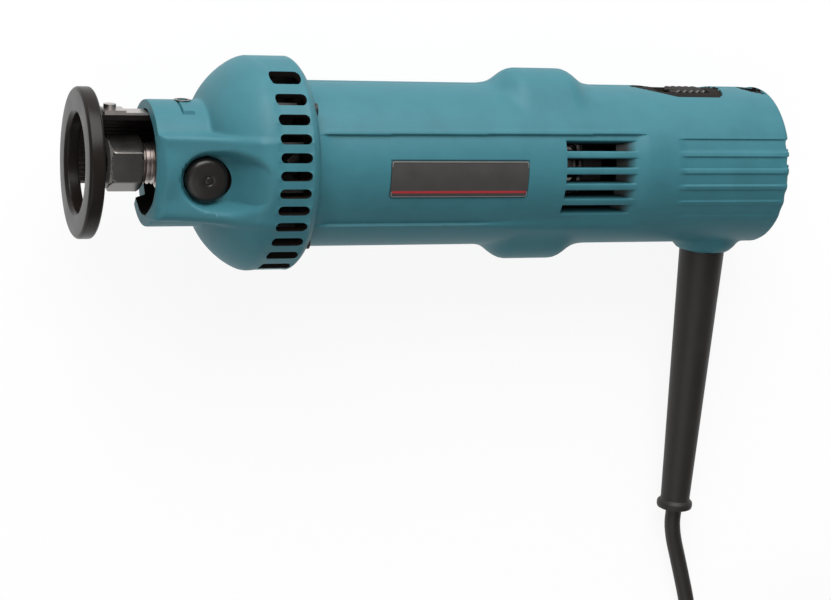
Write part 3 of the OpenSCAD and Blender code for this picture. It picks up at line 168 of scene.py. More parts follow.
def node(tree, kind, **settings):
    # a shader node with plain settings, and socket values by name
    made = tree.nodes.new(kind)
    for key, value in settings.items():
        if key in made.inputs:
            made.inputs[key].default_value = value
        else:
            setattr(made, key, value)
    return made


def join(tree, *links):
    # each link is a node, its output, a node and its input
    for source, output, target, socket in links:
        tree.links.new(source.outputs[output], target.inputs[socket])


def finish(name, base, rough, scale, depth, metal=0.0, mottle=0.06, stretch=(1, 1, 1), gleam=0.5):
    # noise on Object coordinates, turned to the tool's axes: its fine grain drives the bump, its broad one colour and
    # gloss; the attribute deep paints shade: it mixes the colour towards a dark one where a piece lies in a hole
    paint = bpy.data.materials.new(name)
    paint.use_nodes = True
    tree = paint.node_tree
    shader = tree.nodes["Principled BSDF"]
    shader.inputs["Metallic"].default_value = metal
    shader.inputs["Specular IOR Level"].default_value = gleam
    where = node(tree, "ShaderNodeTexCoord")
    lay = node(tree, "ShaderNodeMapping", Rotation=(0, math.asin(axes[0][2]), 0), Scale=stretch)
    fine = node(tree, "ShaderNodeTexNoise", Scale=scale, Detail=3.0)
    broad = node(tree, "ShaderNodeTexNoise", Scale=scale / grain["broad"], Detail=4.0)
    bump = node(tree, "ShaderNodeBump", Strength=grain["bump"], Distance=depth)
    tone = node(tree, "ShaderNodeValToRGB")
    low, high = tone.color_ramp.elements
    low.position, high.position = grain["toneFrom"], grain["toneTo"]
    low.color = (*[c * (1 - mottle) for c in base], 1)
    high.color = (*[c * (1 + mottle) for c in base], 1)
    # painted shade: the attribute deep mixes the base colour towards grain's dark colour
    sunk = node(tree, "ShaderNodeAttribute", attribute_name="deep")
    darken = node(tree, "ShaderNodeMix", data_type="RGBA", blend_type="MIX")
    darken.inputs[7].default_value = grain["dark"]  # inputs 6 and 7 are the two colours, output 2 the mixed one
    limits = {"To Min": rough - grain["glossSpread"], "To Max": rough + grain["glossSpread"]}
    gloss = node(tree, "ShaderNodeMapRange", **limits)
    join(
        tree, (where, "Object", lay, "Vector"), (lay, "Vector", fine, "Vector"), (lay, "Vector", broad, "Vector"),
        (fine, "Fac", bump, "Height"), (bump, "Normal", shader, "Normal"), (broad, "Fac", tone, "Fac"),
        (tone, "Color", darken, 6), (sunk, "Fac", darken, "Factor"), (darken, 2, shader, "Base Color"),
        (broad, "Fac", gloss, "Value"), (gloss, "Result", shader, "Roughness"))
    return paint


turned, wound = (6, 0.4, 0.4), (0.5, 3, 3)  # grain across the axis, and along it
paints = {
    "teal_shell": finish("tealShell", (0.034, 0.142, 0.172), 0.5, 2600, 0.00004, gleam=0.22),
    "black_plastic": finish("blackPlastic", (0.0092, 0.007, 0.006), 0.32, 2400, 0.00005, mottle=0.15, gleam=0.4),
    "dark_plate": finish("darkPlate", (0.041, 0.038, 0.036), 0.45, 3200, 0.00002, mottle=0.1, gleam=0.35),
    "steel": finish("turnedSteel", (0.46, 0.42, 0.40), 0.32, 900, 0.00003, metal=1.0, mottle=0.12, stretch=turned),
    "black_steel": finish("blackenedSteel", (0.13, 0.122, 0.115), 0.25, 1500, 0.00003, metal=1.0, mottle=0.2),
    "fan_plastic": finish("fanPlastic", (0.03, 0.03, 0.03), 0.5, 1800, 0.00004),
    "laminations": finish(
        "laminations", (0.16, 0.155, 0.15), 0.4, 700, 0.00005, metal=0.9, mottle=0.2, stretch=(9, 0.3, 0.3)),
    "copper": finish("windingCopper", (0.4, 0.14, 0.06), 0.35, 1300, 0.00008, metal=0.9, mottle=0.2, stretch=wound),
    "brass": finish("brass", (0.62, 0.46, 0.2), 0.3, 1500, 0.00002, metal=1.0, mottle=0.1),
    "carbon": finish("carbon", (0.02, 0.02, 0.021), 0.55, 1800, 0.00005, mottle=0.2),
    "rubber": finish("cordRubber", (0.0135, 0.011, 0.0095), 0.5, 2200, 0.00005, mottle=0.15, gleam=0.35),
    "felt": finish("felt", (0.09, 0.085, 0.08), 0.95, 1500, 0.0002, mottle=0.25),
    # painted shade: a near black that the shells take on their insides, pocket floors, joint and hole walls
    "recess": finish("paintedShadeRecess", (0.011, 0.0085, 0.0075), 0.75, 2400, 0.00005, mottle=0.15, gleam=0.1),
    "red": finish("redStripe", (0.33, 0.016, 0.022), 0.4, 2600, 0.00002),
    "guide": finish("guidePlastic", (0.0095, 0.007, 0.006), 0.3, 2400, 0.00005, mottle=0.15, gleam=0.16),
    "patina": finish(
        "commutatorPatina", (0.05, 0.024, 0.014), 0.5, 1300, 0.00004, metal=0.6, mottle=0.25, stretch=wound),
    # painted shade: the brush holders' brass is darkened so that the vents read as shade
    "brassInPaintedShade": finish("brassInPaintedShade", (0.1, 0.075, 0.035), 0.5, 1500, 0.00003, metal=0.8, mottle=0.2),
    "darkScrew": finish("darkScrew", (0.02, 0.019, 0.018), 0.45, 1500, 0.00003, metal=0.5, mottle=0.2),
    "frame": finish("plateFrame", (0.2, 0.2, 0.2), 0.4, 2600, 0.00002, metal=0.4),
}


def finishPiece(piece, body, slot, *nodes, paint=None):
    # material, body, the record's slot and the CAD nodes that a piece stands for
    piece.data.materials.append(paints[paint or slot])
    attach(piece, body)
    if nodes:
        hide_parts(*nodes)
    return piece


# Cord, in metres: a smooth curve through the points of its lead, a wound coil and the points of its tail
cordShape = {
    "radius": 0.003, "sides": 14, "straight": 0.006, "exit": place((235.4, -134.0, 0.0)), "perSpan": 4, "perTurn": 40,
    "lead": (
        (0.1066, -0.1445, 0.005), (0.1089, -0.152, 0.0039), (0.1112, -0.1605, 0.0035), (0.1134, -0.170, 0.0035),
        (0.117, -0.190, 0.004), (0.11959, -0.212, 0.0041), (0.11959, -0.218, 0.0041)),
    "middle": (0.164, -0.224), "coilRadius": 0.04441, "low": 0.0041, "pitch": 0.0066, "turns": 2.5625, "layers": 4,
    "tail": (
        (0.170, -0.26841, 0.0239), (0.176, -0.26841, 0.0239), (0.1853, -0.2698, 0.0215), (0.2036, -0.2636, 0.0155),
        (0.2184, -0.2494, 0.010), (0.2244, -0.2325, 0.0075), (0.2248, -0.2187, 0.0075)),
}


def smoothThrough(points, each):
    # a curve through points: on each span a cubic whose end slopes are half the step between the neighbours
    points = np.asarray(points, float)
    padded = np.vstack([2 * points[0] - points[1], points, 2 * points[-1] - points[-2]])
    t = np.linspace(0, 1, each, endpoint=False)[None, :, None]
    a, b, c, d = (padded[k:k + len(points) - 1, None, :] for k in range(4))
    cubic = (2 * a - 5 * b + 4 * c - d) * t ** 2 + (3 * b - a - 3 * c + d) * t ** 3
    curve = 0.5 * (2 * b + (c - a) * t + cubic)
    return np.vstack([curve.reshape(-1, 3), points[-1]])


def coilRadius(turns):
    # shrinks by a pitch each turn on even layers and grows on odd ones
    layer = np.minimum(turns // cordShape["turns"], cordShape["layers"] - 1)
    within = turns - layer * cordShape["turns"]
    return cordShape["coilRadius"] - np.where(layer % 2 == 0, within, cordShape["turns"] - within) * cordShape["pitch"]


def woundCoil(perTurn):
    # a flat spiral in each layer; the height climbs one pitch over the half turn where the spiral reverses
    whole = cordShape["turns"] * cordShape["layers"]
    turns = np.linspace(0, whole, int(whole * perTurn) + 1)
    rise = np.clip((turns[:, None] - cordShape["turns"] * np.arange(1, cordShape["layers"])) / 0.5 + 0.5, 0, 1)
    climb = (rise * rise * (3 - 2 * rise)).sum(1)
    radius, angle = coilRadius(turns), math.pi + turns * 2 * math.pi
    middleX, middleY = cordShape["middle"]
    height = cordShape["low"] + climb * cordShape["pitch"]
    return stacked(middleX + radius * np.cos(angle), middleY + radius * np.sin(angle), height)


def roundTube(path, radius, sides, upright=(0.02, 0.01, 1.0)):
    # a circle carried along a path, square to it and to upright, with a point at each end
    tangent = np.gradient(path, axis=0)
    tangent /= np.linalg.norm(tangent, axis=1, keepdims=True)
    across = np.cross(tangent, upright)
    across /= np.linalg.norm(across, axis=1, keepdims=True)
    angle = np.linspace(0, 2 * math.pi, sides, endpoint=False)[:, None, None]
    ring = path[None] + radius * (np.cos(angle) * across[None] + np.sin(angle) * np.cross(across, tangent)[None])
    middle = np.broadcast_to(path, ring.shape)
    return np.concatenate([middle[:, :1], ring, middle[:, -1:]], 1)


coilPath = woundCoil(cordShape["perTurn"])
straightEnd = cordShape["exit"] - axes[1] * cordShape["straight"]
leadPath = smoothThrough([cordShape["exit"], straightEnd, *cordShape["lead"], coilPath[0]], cordShape["perSpan"])
tailPath = smoothThrough([coilPath[-1], *cordShape["tail"]], cordShape["perSpan"])
cordPath = np.vstack([leadPath[:-1], coilPath, tailPath[1:]])
tube = roundTube(cordPath, cordShape["radius"], cordShape["sides"])
cord = meshPiece("cord", tube, gridFaces(cordShape["sides"], tube.shape[1], wrap=True), 60)
finishPiece(cord, "root", "rubber", "cord_core", "cord_lead", "cord_coil", "cord_tail")


def smoothMin(a, b, k):
    # the lesser of two distances, rounded over k where they meet
    h = np.clip(0.5 + 0.5 * (b - a) / k, 0, 1)
    return b + (a - b) * h - k * h * (1 - h)


def smoothMax(a, b, k):
    return -smoothMin(-a, -b, k)


def fade(x, low, high):
    # 0 below low, 1 above high, and a smooth step between
    t = np.clip((x - low) / (high - low), 0, 1)
    return t * t * (3 - 2 * t)


def window(x, low, high, edge):
    # 1 between low and high, 0 outside, with smooth steps of width edge
    return fade(x, low - edge / 2, low + edge / 2) * (1 - fade(x, high - edge / 2, high + edge / 2))


def castInwards(start, way, field, reach, steps=40, halvings=15):
    # the first place along each ray where the field turns negative: even steps, then halving
    low, high = np.zeros(start.shape[:-1]), np.full(start.shape[:-1], float(reach))
    found = np.zeros(start.shape[:-1], bool)
    for step in np.linspace(0, reach, steps + 1)[1:]:
        fresh = ~found & (field(start + way * step) < 0)
        low[fresh], high[fresh] = step - reach / steps, step
        found |= fresh
    for _ in range(halvings):
        middle = (low + high) / 2
        inside = field(start + way * middle[..., None]) < 0
        low, high = np.where(inside, low, middle), np.where(inside, middle, high)
    return high


def mergeLines(fine, coarse, gap):
    # all fine values, and the coarse ones that stand clear of them
    fine = np.unique(np.round(fine, 4))
    coarse = np.asarray(coarse, float)
    clear = np.abs(coarse[:, None] - fine[None]).min(1) > gap
    return np.sort(np.r_[fine, coarse[clear]])


def spreadOver(middles, offsets):
    return (np.asarray(middles, float)[:, None] + np.asarray(offsets, float)[None]).ravel()


def roundCorners(points, radii, steps=5):
    # a closed outline whose corners become arcs that touch both sides
    points = np.asarray(points, float)
    before, after = np.roll(points, 1, 0) - points, np.roll(points, -1, 0) - points
    before /= np.linalg.norm(before, axis=1, keepdims=True)
    after /= np.linalg.norm(after, axis=1, keepdims=True)
    t = np.linspace(0, 1, steps)[None, :, None]
    reach = np.asarray(radii, float)[:, None, None]
    p = points[:, None]
    a, b = p + reach * before[:, None], p + reach * after[:, None]
    return ((1 - t) ** 2 * a + 2 * t * (1 - t) * p + t ** 2 * b).reshape(-1, 2)


def lathe(name, outline, lines, centre=(0, 0, 0), along=0, closed=True, sharp=32, wave=None):
    # an outline of (distance along, radius) turned round an axis of the tool; wave may change the radius with the angle
    outline = np.asarray(outline, float)
    angle = np.linspace(0, 2 * math.pi, lines, endpoint=False)[:, None]
    x, r = np.broadcast_arrays(outline[None, :, 0], outline[None, :, 1] + 0 * angle)
    if wave:
        r = wave(x, r, angle)
    up, side = r * np.sin(angle), r * np.cos(angle)
    ring = ((x, up, side), (side, x, up), (side, up, x))[along]
    points = place(stacked(*ring) + np.asarray(centre, float))
    return meshPiece(name, points, gridFaces(lines, len(outline), wrap=True, ends=closed), sharp)


# Barrel, in two halves
barrel = {
    "radius": 28.3, "inner": 25.6, "end": 258.8, "capDrop": 6.9, "capPower": 1.6, "capShare": 0.94, "corner": 0.8,
    "flange": ((71.0, 30.9), (74.5, 30.9), (74.85, 30.6), (74.85, 30.2)), "filletAt": (75.65, 29.1), "fillet": 0.8,
    "rows": np.arange(-2, 3) * 5.85, "side": (4, 6), "seam": 0.25,
    "humpAt": 161.8, "humpAxis": 16.6, "humpTop": 17.4, "humpFoot": 11.0, "humpHalf": 9.0, "humpSlope": 13.0,
    "humpLean": 1.8, "humpBlend": 2.5,
    "guardAt": 235.4, "boss": 12.6, "bossTip": 9.6, "bossEnd": 31.6, "bossRoot": 8, "bossBlend": 1.6,
    "panel": (77.8, 195.5), "panelTop": (14.4, 15.1), "panelLow": -16.6, "panelDepth": 1.0, "panelLip": 0.2,
    "panelSoft": (130, 165), "plate": (100.9, 151.1), "plateHalf": 6.4, "plateDepth": 0.35,
    "vent": (165.6, 192.0), "ventRamp": 6.5, "ventHalf": 1.55, "ventLip": 0.3, "ventDepth": 2.9, "ventShade": 1.9,
    "fluteFrom": 209.5, "fluteHalf": 2.1, "fluteDepths": (0.2, 0.4, 0.5, 0.55, 0.6),
    "fluteEnds": (0.0, 0.0, 0.1, 5.0, 5.0), "notchLean": 0.277, "notchLeanFrom": 19.6, "notchWithin": (25.0, 27.8),
    "recess": (199.6, 214.0, 228.8, 234.0), "recessHalf": 10.4, "recessDepth": 0.6, "bedRim": 0.3,
    "channel": (208.4, 229.0), "channelHalf": 5.0, "channelFloor": 25.9,
    "slot": (245.0, 250.9), "slotHalf": 2.8, "slotFloor": 15.0,
    "slotBed": (243.6, 251.6), "slotBedHalf": 8.0, "slotBedLow": 23.5,
}


def recessOutline(x, z):
    # how far outside the switch's bed: its half width grows by a power of X in front and falls by a superellipse behind
    tip, wide, mid, end = barrel["recess"]
    grown = np.clip((x - tip) / (wide - tip), 0, 1) ** 0.6
    fallen = np.clip(1 - np.clip((x - mid) / (end - mid), 0, 1) ** 2.5, 0, 1) ** 0.5
    return np.abs(z) - barrel["recessHalf"] * (grown * fallen)


def slotOutline(x, z):
    # the same for the bed of the rear slot, whose front widens by a power of X and which stops before the end
    low, high = barrel["slotBed"]
    grown = np.clip((x - low) / (high - low), 0, 1) ** 0.35
    return np.abs(z) - barrel["slotBedHalf"] * grown * (x < barrel["slot"][1])


def openBox(x, y, z, run, half, floor):
    # how far outside a pocket that is open at the top
    return np.maximum(np.maximum(np.abs(x - sum(run) / 2) - (run[1] - run[0]) / 2, z - half), floor - y)


def barrelField(p):
    # smooth union of the cylinder with its domed end, two humps and the cord boss, then panel, plate bed, vents,
    # flutes, switch bed and rear slot cut in
    b = SimpleNamespace(**barrel)
    x, y, z = p[..., 0], p[..., 1], np.abs(p[..., 2])
    rho = np.hypot(y, z)
    cap = x - b.end + b.capDrop * (rho / b.radius) ** b.capPower
    body = smoothMax(rho - b.radius, b.capShare * cap, b.corner)
    away = np.maximum(x - b.humpAt, b.humpAt - x + b.humpLean)
    t = np.clip((b.humpHalf + b.humpSlope - away) / b.humpSlope, 0, 1)
    lobe = b.humpFoot + (b.humpTop - b.humpFoot) * (1 - np.cos(math.pi * t)) / 2
    past = np.maximum(away - b.humpHalf - b.humpSlope + 1, 0)
    body = smoothMin(body, np.hypot(np.abs(y) - b.humpAxis, z) - lobe + 0.8 * past, b.humpBlend)
    out = np.hypot(x - b.guardAt, z)
    slope = (out - y - b.bossTip - b.bossEnd) / math.sqrt(2)
    boss = smoothMax(np.maximum(out - b.boss, y + b.bossRoot), smoothMax(slope, -b.bossEnd - y, 0.5), 1.5)
    body = smoothMin(body, boss, b.bossBlend)
    # panel, with a lip over it and a lower edge that softens to the rear, and the plate's bed
    side = fade(z, *b.side)
    over, under = y - np.interp(x, b.panel, b.panelTop), y - b.panelLow
    soft = 0.5 + 5 * fade(x, *b.panelSoft)
    panel = b.panelDepth * fade(under, -soft / 2, soft / 2) * (1 - fade(over, -0.35, 0.2))
    panel = panel - b.panelLip * window(over, 0.3, 1.6, 0.7)
    start, stop = b.panel
    body = body + side * panel * fade(x, start - 2.0, start + 3.0) * (1 - fade(x, stop - 3, stop + 1))
    plateBed = window(y, -b.plateHalf, b.plateHalf, 0.2) * window(x, *b.plate, 0.2)
    body = body + side * b.plateDepth * plateBed
    # rows of vents and flutes; on the end the flutes lean and become V notches
    height = y * (1 + (b.radius / np.maximum(rho, 5) - 1) * (1 - fade(x, 195, 205)))
    height = height - b.notchLean * (z - b.notchLeanFrom) * fade(x, 249.5, 252.5) * (rho < 26.5)
    away = np.abs(height[..., None] - b.rows)
    row, which = away.min(-1), away.argmin(-1)
    ventStart, ventEnd = b.vent
    ramp = np.clip((ventEnd - x) / b.ventRamp, 0, 1)
    hole = b.ventDepth * ramp * (1 - fade(row, b.ventHalf - 0.05, b.ventHalf + 0.12))
    lip = b.ventLip * (1 - fade(row, b.ventHalf, b.ventHalf + 0.6))
    body = body + side * window(x, ventStart - 0.1, ventEnd, 0.2) * (hole + lip)
    depths, ends = np.asarray(b.fluteDepths)[which], np.asarray(b.fluteEnds)[which]
    deep = depths + (ends - depths) * fade(x, 247.5, 252.5) * (1 - fade(rho, *b.notchWithin))
    board = 1 - fade(row, b.fluteHalf - 0.3, b.fluteHalf + 0.1)
    notch = np.clip(1.25 - row / b.fluteHalf, 0, 1)
    section = board + (notch - board) * fade(x, 248.5, 252.5)
    body = body + deep * fade(x, b.fluteFrom - 2.5, b.fluteFrom + 2.5) * section
    # beds of the switch and the rear slot, then the pockets in them and the seam between the halves
    rim, low = b.bedRim, b.slotBedLow
    body = body + b.recessDepth * (1 - fade(recessOutline(x, z), -rim, 0.0)) * (y > 15)
    body = body + b.recessDepth * (1 - fade(slotOutline(x, z), -rim, 0.0)) * fade(y, low - rim, low + rim)
    body = smoothMax(body, -openBox(x, y, z, b.channel, b.channelHalf, b.channelFloor), rim)
    body = smoothMax(body, -openBox(x, y, z, b.slot, b.slotHalf, b.slotFloor), rim)
    return body + b.seam * (1 - fade(z, 0.05, 0.4))


def ventRow(points):
    # distance from the nearest row of vents, by the height where a point's radius meets the round of the barrel
    height = points[..., 1] * barrel["radius"] / np.hypot(points[..., 1], points[..., 2])
    return np.abs(height[..., None] - barrel["rows"]).min(-1)


def barrelHalf(name, side):
    # lines round the barrel by stations along it; on the end the lines keep their height, so that flutes cross it
    b = SimpleNamespace(**barrel)
    radius, drop, power, corner = b.radius, b.capDrop, b.capPower, b.corner
    heights = np.concatenate([
        spreadOver(b.rows, (-2.35, -2.0, -1.75, -1.5, -0.6, 0.6, 1.5, 1.75, 2.0, 2.35)),
        b.panelLow + np.array([-0.4, -0.15, 0.15, 0.4]), np.arange(13.8, 17.2, 0.22),
        spreadOver((-b.plateHalf, b.plateHalf), (-0.12, 0.12))])
    nearTop = np.r_[0, 0.2, 0.4, 0.8, 1.2, 1.7, 2.2, 2.6, np.arange(2.8, 11.3, 0.38)]
    nearLow = np.array([0, 0.2, 0.4, 1.2, 2.5, 4.0, 5.5, 7.0, 8.5])
    middleLines, topLines, lowLines = (np.degrees(np.arcsin(part / radius)) for part in (heights, nearTop, nearLow))
    fineLines = np.r_[middleLines, 90 - topLines, -90 + lowLines]
    phi = np.radians(mergeLines(fineLines, np.linspace(-86, 86, 80), 0.8))[:, None]
    cornerX = b.end - drop - corner
    edge, step = (-0.4, -0.1, 0.1, 0.4), (-0.3, -0.1, 0.1, 0.3)
    fineStations = np.concatenate([
        spreadOver((b.panel[0], *b.plate, b.vent[0]), edge),
        b.vent[1] - b.ventRamp * np.linspace(0, 1, 9),
        spreadOver((b.fluteFrom,), (-2.5, -1.2, 0.0, 1.2, 2.5)), spreadOver(b.slot, step),
        np.arange(200.5, 237, 0.42), [cornerX]])
    coarse = np.r_[np.arange(76.2, 140, 3.0), np.arange(140, 200, 1.6), np.arange(237, 249.5, 1.2)]
    stations = mergeLines(fineStations, coarse, 0.5)
    stations = stations[stations <= cornerX][None]
    w = np.r_[np.linspace(0.03, 0.2, 7), np.linspace(0.26, 1, 17)][None]
    # nominal surface and its normal along the barrel, then over the end
    alongPoint, alongNormal = aroundX(stations, radius, phi), aroundX(0 * stations, 1, phi)
    endY, endZ = radius * np.sin(phi) + 0 * w, radius * np.cos(phi) * np.cos(w * math.pi / 2)
    r = np.minimum(np.hypot(endY, endZ), radius)
    tilt = np.arctan(drop * power / radius * (r / radius) ** (power - 1))
    tilt = tilt + (math.pi / 2 - tilt) * fade(r, radius - 2 * corner, radius)
    outward = np.sin(tilt) / np.maximum(r, 1e-9)
    endPoint = stacked(b.end - drop * (r / radius) ** power, endY, endZ)
    endNormal = stacked(np.cos(tilt), endY * outward, endZ * outward)
    nominal, normal = np.concatenate([alongPoint, endPoint], 1), np.concatenate([alongNormal, endNormal], 1)
    far = 12.0
    height = far - castInwards(nominal + far * normal, -normal, barrelField, far + 15)
    outer = nominal + height[..., None] * normal
    # the inner wall follows the humps and the boss, keeps clear of the notches, and hugs the floors of the pockets
    inset = np.clip((nominal[..., 0] - cornerX) / 1.5, 0, 1) * 8.5
    inner = nominal * (1, b.inner / radius, b.inner / radius) - stacked(inset, 0, 0)
    inner = inner + np.maximum(height, 0)[..., None] * normal
    sunk = (height < -1.9) & (nominal[..., 0] < cornerX)
    inner = np.where(sunk[..., None], outer - 1.1 * normal, inner)
    # flange in front, with a fillet to the barrel
    foot = np.radians(np.linspace(0, 90, 4))
    fillet = np.array(b.filletAt) - b.fillet * stacked(np.cos(foot), np.sin(foot))
    leadX, leadR = np.vstack([b.flange, fillet]).T[:, None]
    outer = np.concatenate([aroundX(leadX, leadR, phi), outer], 1)
    inner = np.concatenate([aroundX(leadX, b.inner, phi), inner], 1)
    # vents are left out, and the faces in pockets, inside and in the joint with the collar take painted shade, a near
    # black
    middle = (outer[:-1, :-1] + outer[1:, :-1] + outer[1:, 1:] + outer[:-1, 1:]) / 4
    x, y, z = np.moveaxis(middle, -1, 0)
    nominalX = np.concatenate([leadX + 0 * phi, nominal[..., 0]], 1)
    middleX = (nominalX[:-1, :-1] + nominalX[1:, 1:]) / 2
    ventStart, ventEnd = b.vent
    hole = (ventRow(middle) < b.ventHalf) & (middleX > ventStart) & (middleX < ventEnd - b.ventRamp)
    keep = ~hole
    # painted shade: the switch's bed, the rear slot's bed, the slot's pocket and the flange in the joint take the dark
    # material
    paintedShadeFaces = ((recessOutline(x, z) < -0.1) | (slotOutline(x, z) < -0.1)) & (y > b.slotBedLow)
    inSlot = (x > b.slot[0]) & (x < b.slot[1] + 0.3) & (z < b.slotHalf) & (y > b.slotFloor - 0.6)
    paintedShadeFaces |= inSlot & (np.hypot(y, z) < 27.2) | (middleX < 74.6)
    # painted shade: the vent ramps darken towards their deep end, kept in the attribute deep
    inRamp = (ventRow(outer) < b.ventHalf + 0.05) & (nominalX > ventStart - 0.2) & (nominalX < ventEnd + 0.2)
    deep = inRamp * np.clip(b.ventShade * (ventEnd - nominalX) / b.ventRamp, 0, 1)
    # painted shade also on the rims of the flange and of the vents
    return shellPiece(
        name, outer, inner, keep, sharp=34, side=side, paintedShadeFaces=paintedShadeFaces, deep=np.concatenate([deep, 0 * deep]),
        paintedShadeRim=lambda x, y: (x < 75) | (np.abs(y) < 14) & (x > 160) & (x < 195))


for name, side, cadNode in (("nearHalf", 1, "near_shell"), ("farHalf", -1, "far_shell")):
    half = finishPiece(barrelHalf(name, side), "root", "teal_shell", cadNode)
    # second material: the painted shade of the insides, pockets and hole walls
    half.data.materials.append(paints["recess"])
    print(name, len(half.data.polygons), "faces")

# Front housing: nose with side bosses, dome and slotted collar in one skin, over a black hub
front = {
    "front": 23.4, "noseRadius": 21.2, "halfWidth": 20.3, "ridge": 12.9, "low": -16.0, "chamfer": (1.9, 1.9),
    "domeFrom": 41.8, "collarFrom": 57.3, "collar": 36.3, "end": 75.0, "round": (3.8, 5.0), "power": 1.45,
    "flareFrom": 26.0, "flareRun": 28.0, "flare": 13.5, "mouth": 17.4, "chamber": 33.9, "chamberFrom": (53.4, 58.6),
    "slotPitch": 5.85, "slotCount": 12, "slotHalf": 1.6, "slot": (59.9, 70.7), "slotLip": 0.35, "slotRear": 71.2,
    "button": (39.8, -1.5), "buttonHole": 7.6, "scoopStart": 9.1, "scoopEnd": (51.0, -1.0), "scoopEndRadius": 8.2,
    "scoopFloor": 18.9, "scoopEdge": 1.2, "scoopRiseAt": 46.2,
    "pocket": 33.4, "pocketEnd": 37.2, "pocketAngle": 0.8863, "pocketDepth": 1.1, "notch": 3.5,
}


def slotDistance(x, y):
    # distance to the nearest exhaust slot, a stadium along X
    pitch, half = front["slotPitch"], front["slotHalf"]
    row = np.abs((y + 100 * pitch) % pitch - pitch / 2)
    middle, reach = sum(front["slot"]) / 2, (front["slot"][1] - front["slot"][0]) / 2 - half
    gap = np.hypot(np.maximum(np.abs(x - middle) - reach, 0), pitch / 2 - row) - half
    return np.where(np.abs(y) < front["slotCount"] / 2 * pitch, gap, 9.0)


def domeRadius(x):
    # superellipse from the nose's radius to the collar's
    u = np.clip((front["collarFrom"] - x) / (front["collarFrom"] - front["domeFrom"]), 0, 1)
    share = np.clip(1 - u ** front["power"], 0, 1) ** (1 / front["power"])
    return front["noseRadius"] + (front["collar"] - front["noseRadius"]) * share


def frontField(p):
    # union of a round nose, a superellipse dome and a box boss that flares by a power of X to stand off both, then the
    # chamfer, a bowl behind the button and a marked pocket
    f = SimpleNamespace(**front)
    x, y, z = p[..., 0], p[..., 1], p[..., 2]
    flat, rho = np.abs(z), np.hypot(y, z)
    flare = np.clip((x - f.flareFrom) / f.flareRun, 0, 1) ** 1.7
    width = f.halfWidth + f.flare * flare
    boss = smoothMax(y - f.ridge - 1.2 * flare, (flat - width) * (1 - 0.3 * flare), 1.8)
    nose = smoothMin(rho - f.noseRadius, smoothMax(boss, f.low - y, 4.0), 1.4)
    run, drop = f.chamfer
    slant = ((flat - f.halfWidth + drop) * run - (x - f.front) * drop) / math.hypot(run, drop)
    nose = smoothMax(smoothMax(nose, slant, 0.7), f.front - x, 0.7)
    length, rise, power = f.collarFrom - f.domeFrom, f.collar - f.noseRadius, f.power
    ahead = np.clip((f.collarFrom - x) / length, 0, None) ** power
    above = np.clip((rho - f.noseRadius) / rise, 0, None) ** power
    body = smoothMin(nose, ((ahead + above) ** (1 / power) - 1) * rise, 1.3)
    # the bowl: a floor that rises to the rear, under a plan that narrows from the button to the end of the scoop
    start, way = np.array(f.button), np.array(f.scoopEnd) - np.array(f.button)
    t = np.clip(((x - start[0]) * way[0] + (y - start[1]) * way[1]) / np.dot(way, way), 0, 1)
    reach = f.scoopStart + t * (f.scoopEndRadius - f.scoopStart)
    plan = np.hypot(x - start[0] - t * way[0], y - start[1] - t * way[1]) - reach
    behind = x - f.scoopRiseAt
    floor = f.scoopFloor + 0.1 * (x - start[0]) + 0.81 * (np.hypot(behind, 2.0) + behind)
    bowl = floor + np.maximum(plan + f.scoopEdge, 0) * 2.4
    body = smoothMax(body, (z - bowl) / 2.6, 0.8 + 1.4 * fade(x, 43, 53))
    # the pocket's mark: two grooves that meet at its corner
    across = np.exp(-((x - f.pocket) / 0.26) ** 2) * (y > f.pocketAngle * rho - 0.1)
    lengthwise = np.exp(-((y / np.maximum(rho, 1) - f.pocketAngle) / 0.011) ** 2)
    mark = across + lengthwise * window(x, f.pocket, f.pocketEnd, 0.3)
    body = body + f.pocketDepth * np.minimum(mark, 1) * (z > 0)
    return body + f.slotLip * (1 - fade(slotDistance(x, y), 0.0, 0.7)) * (x > 58)


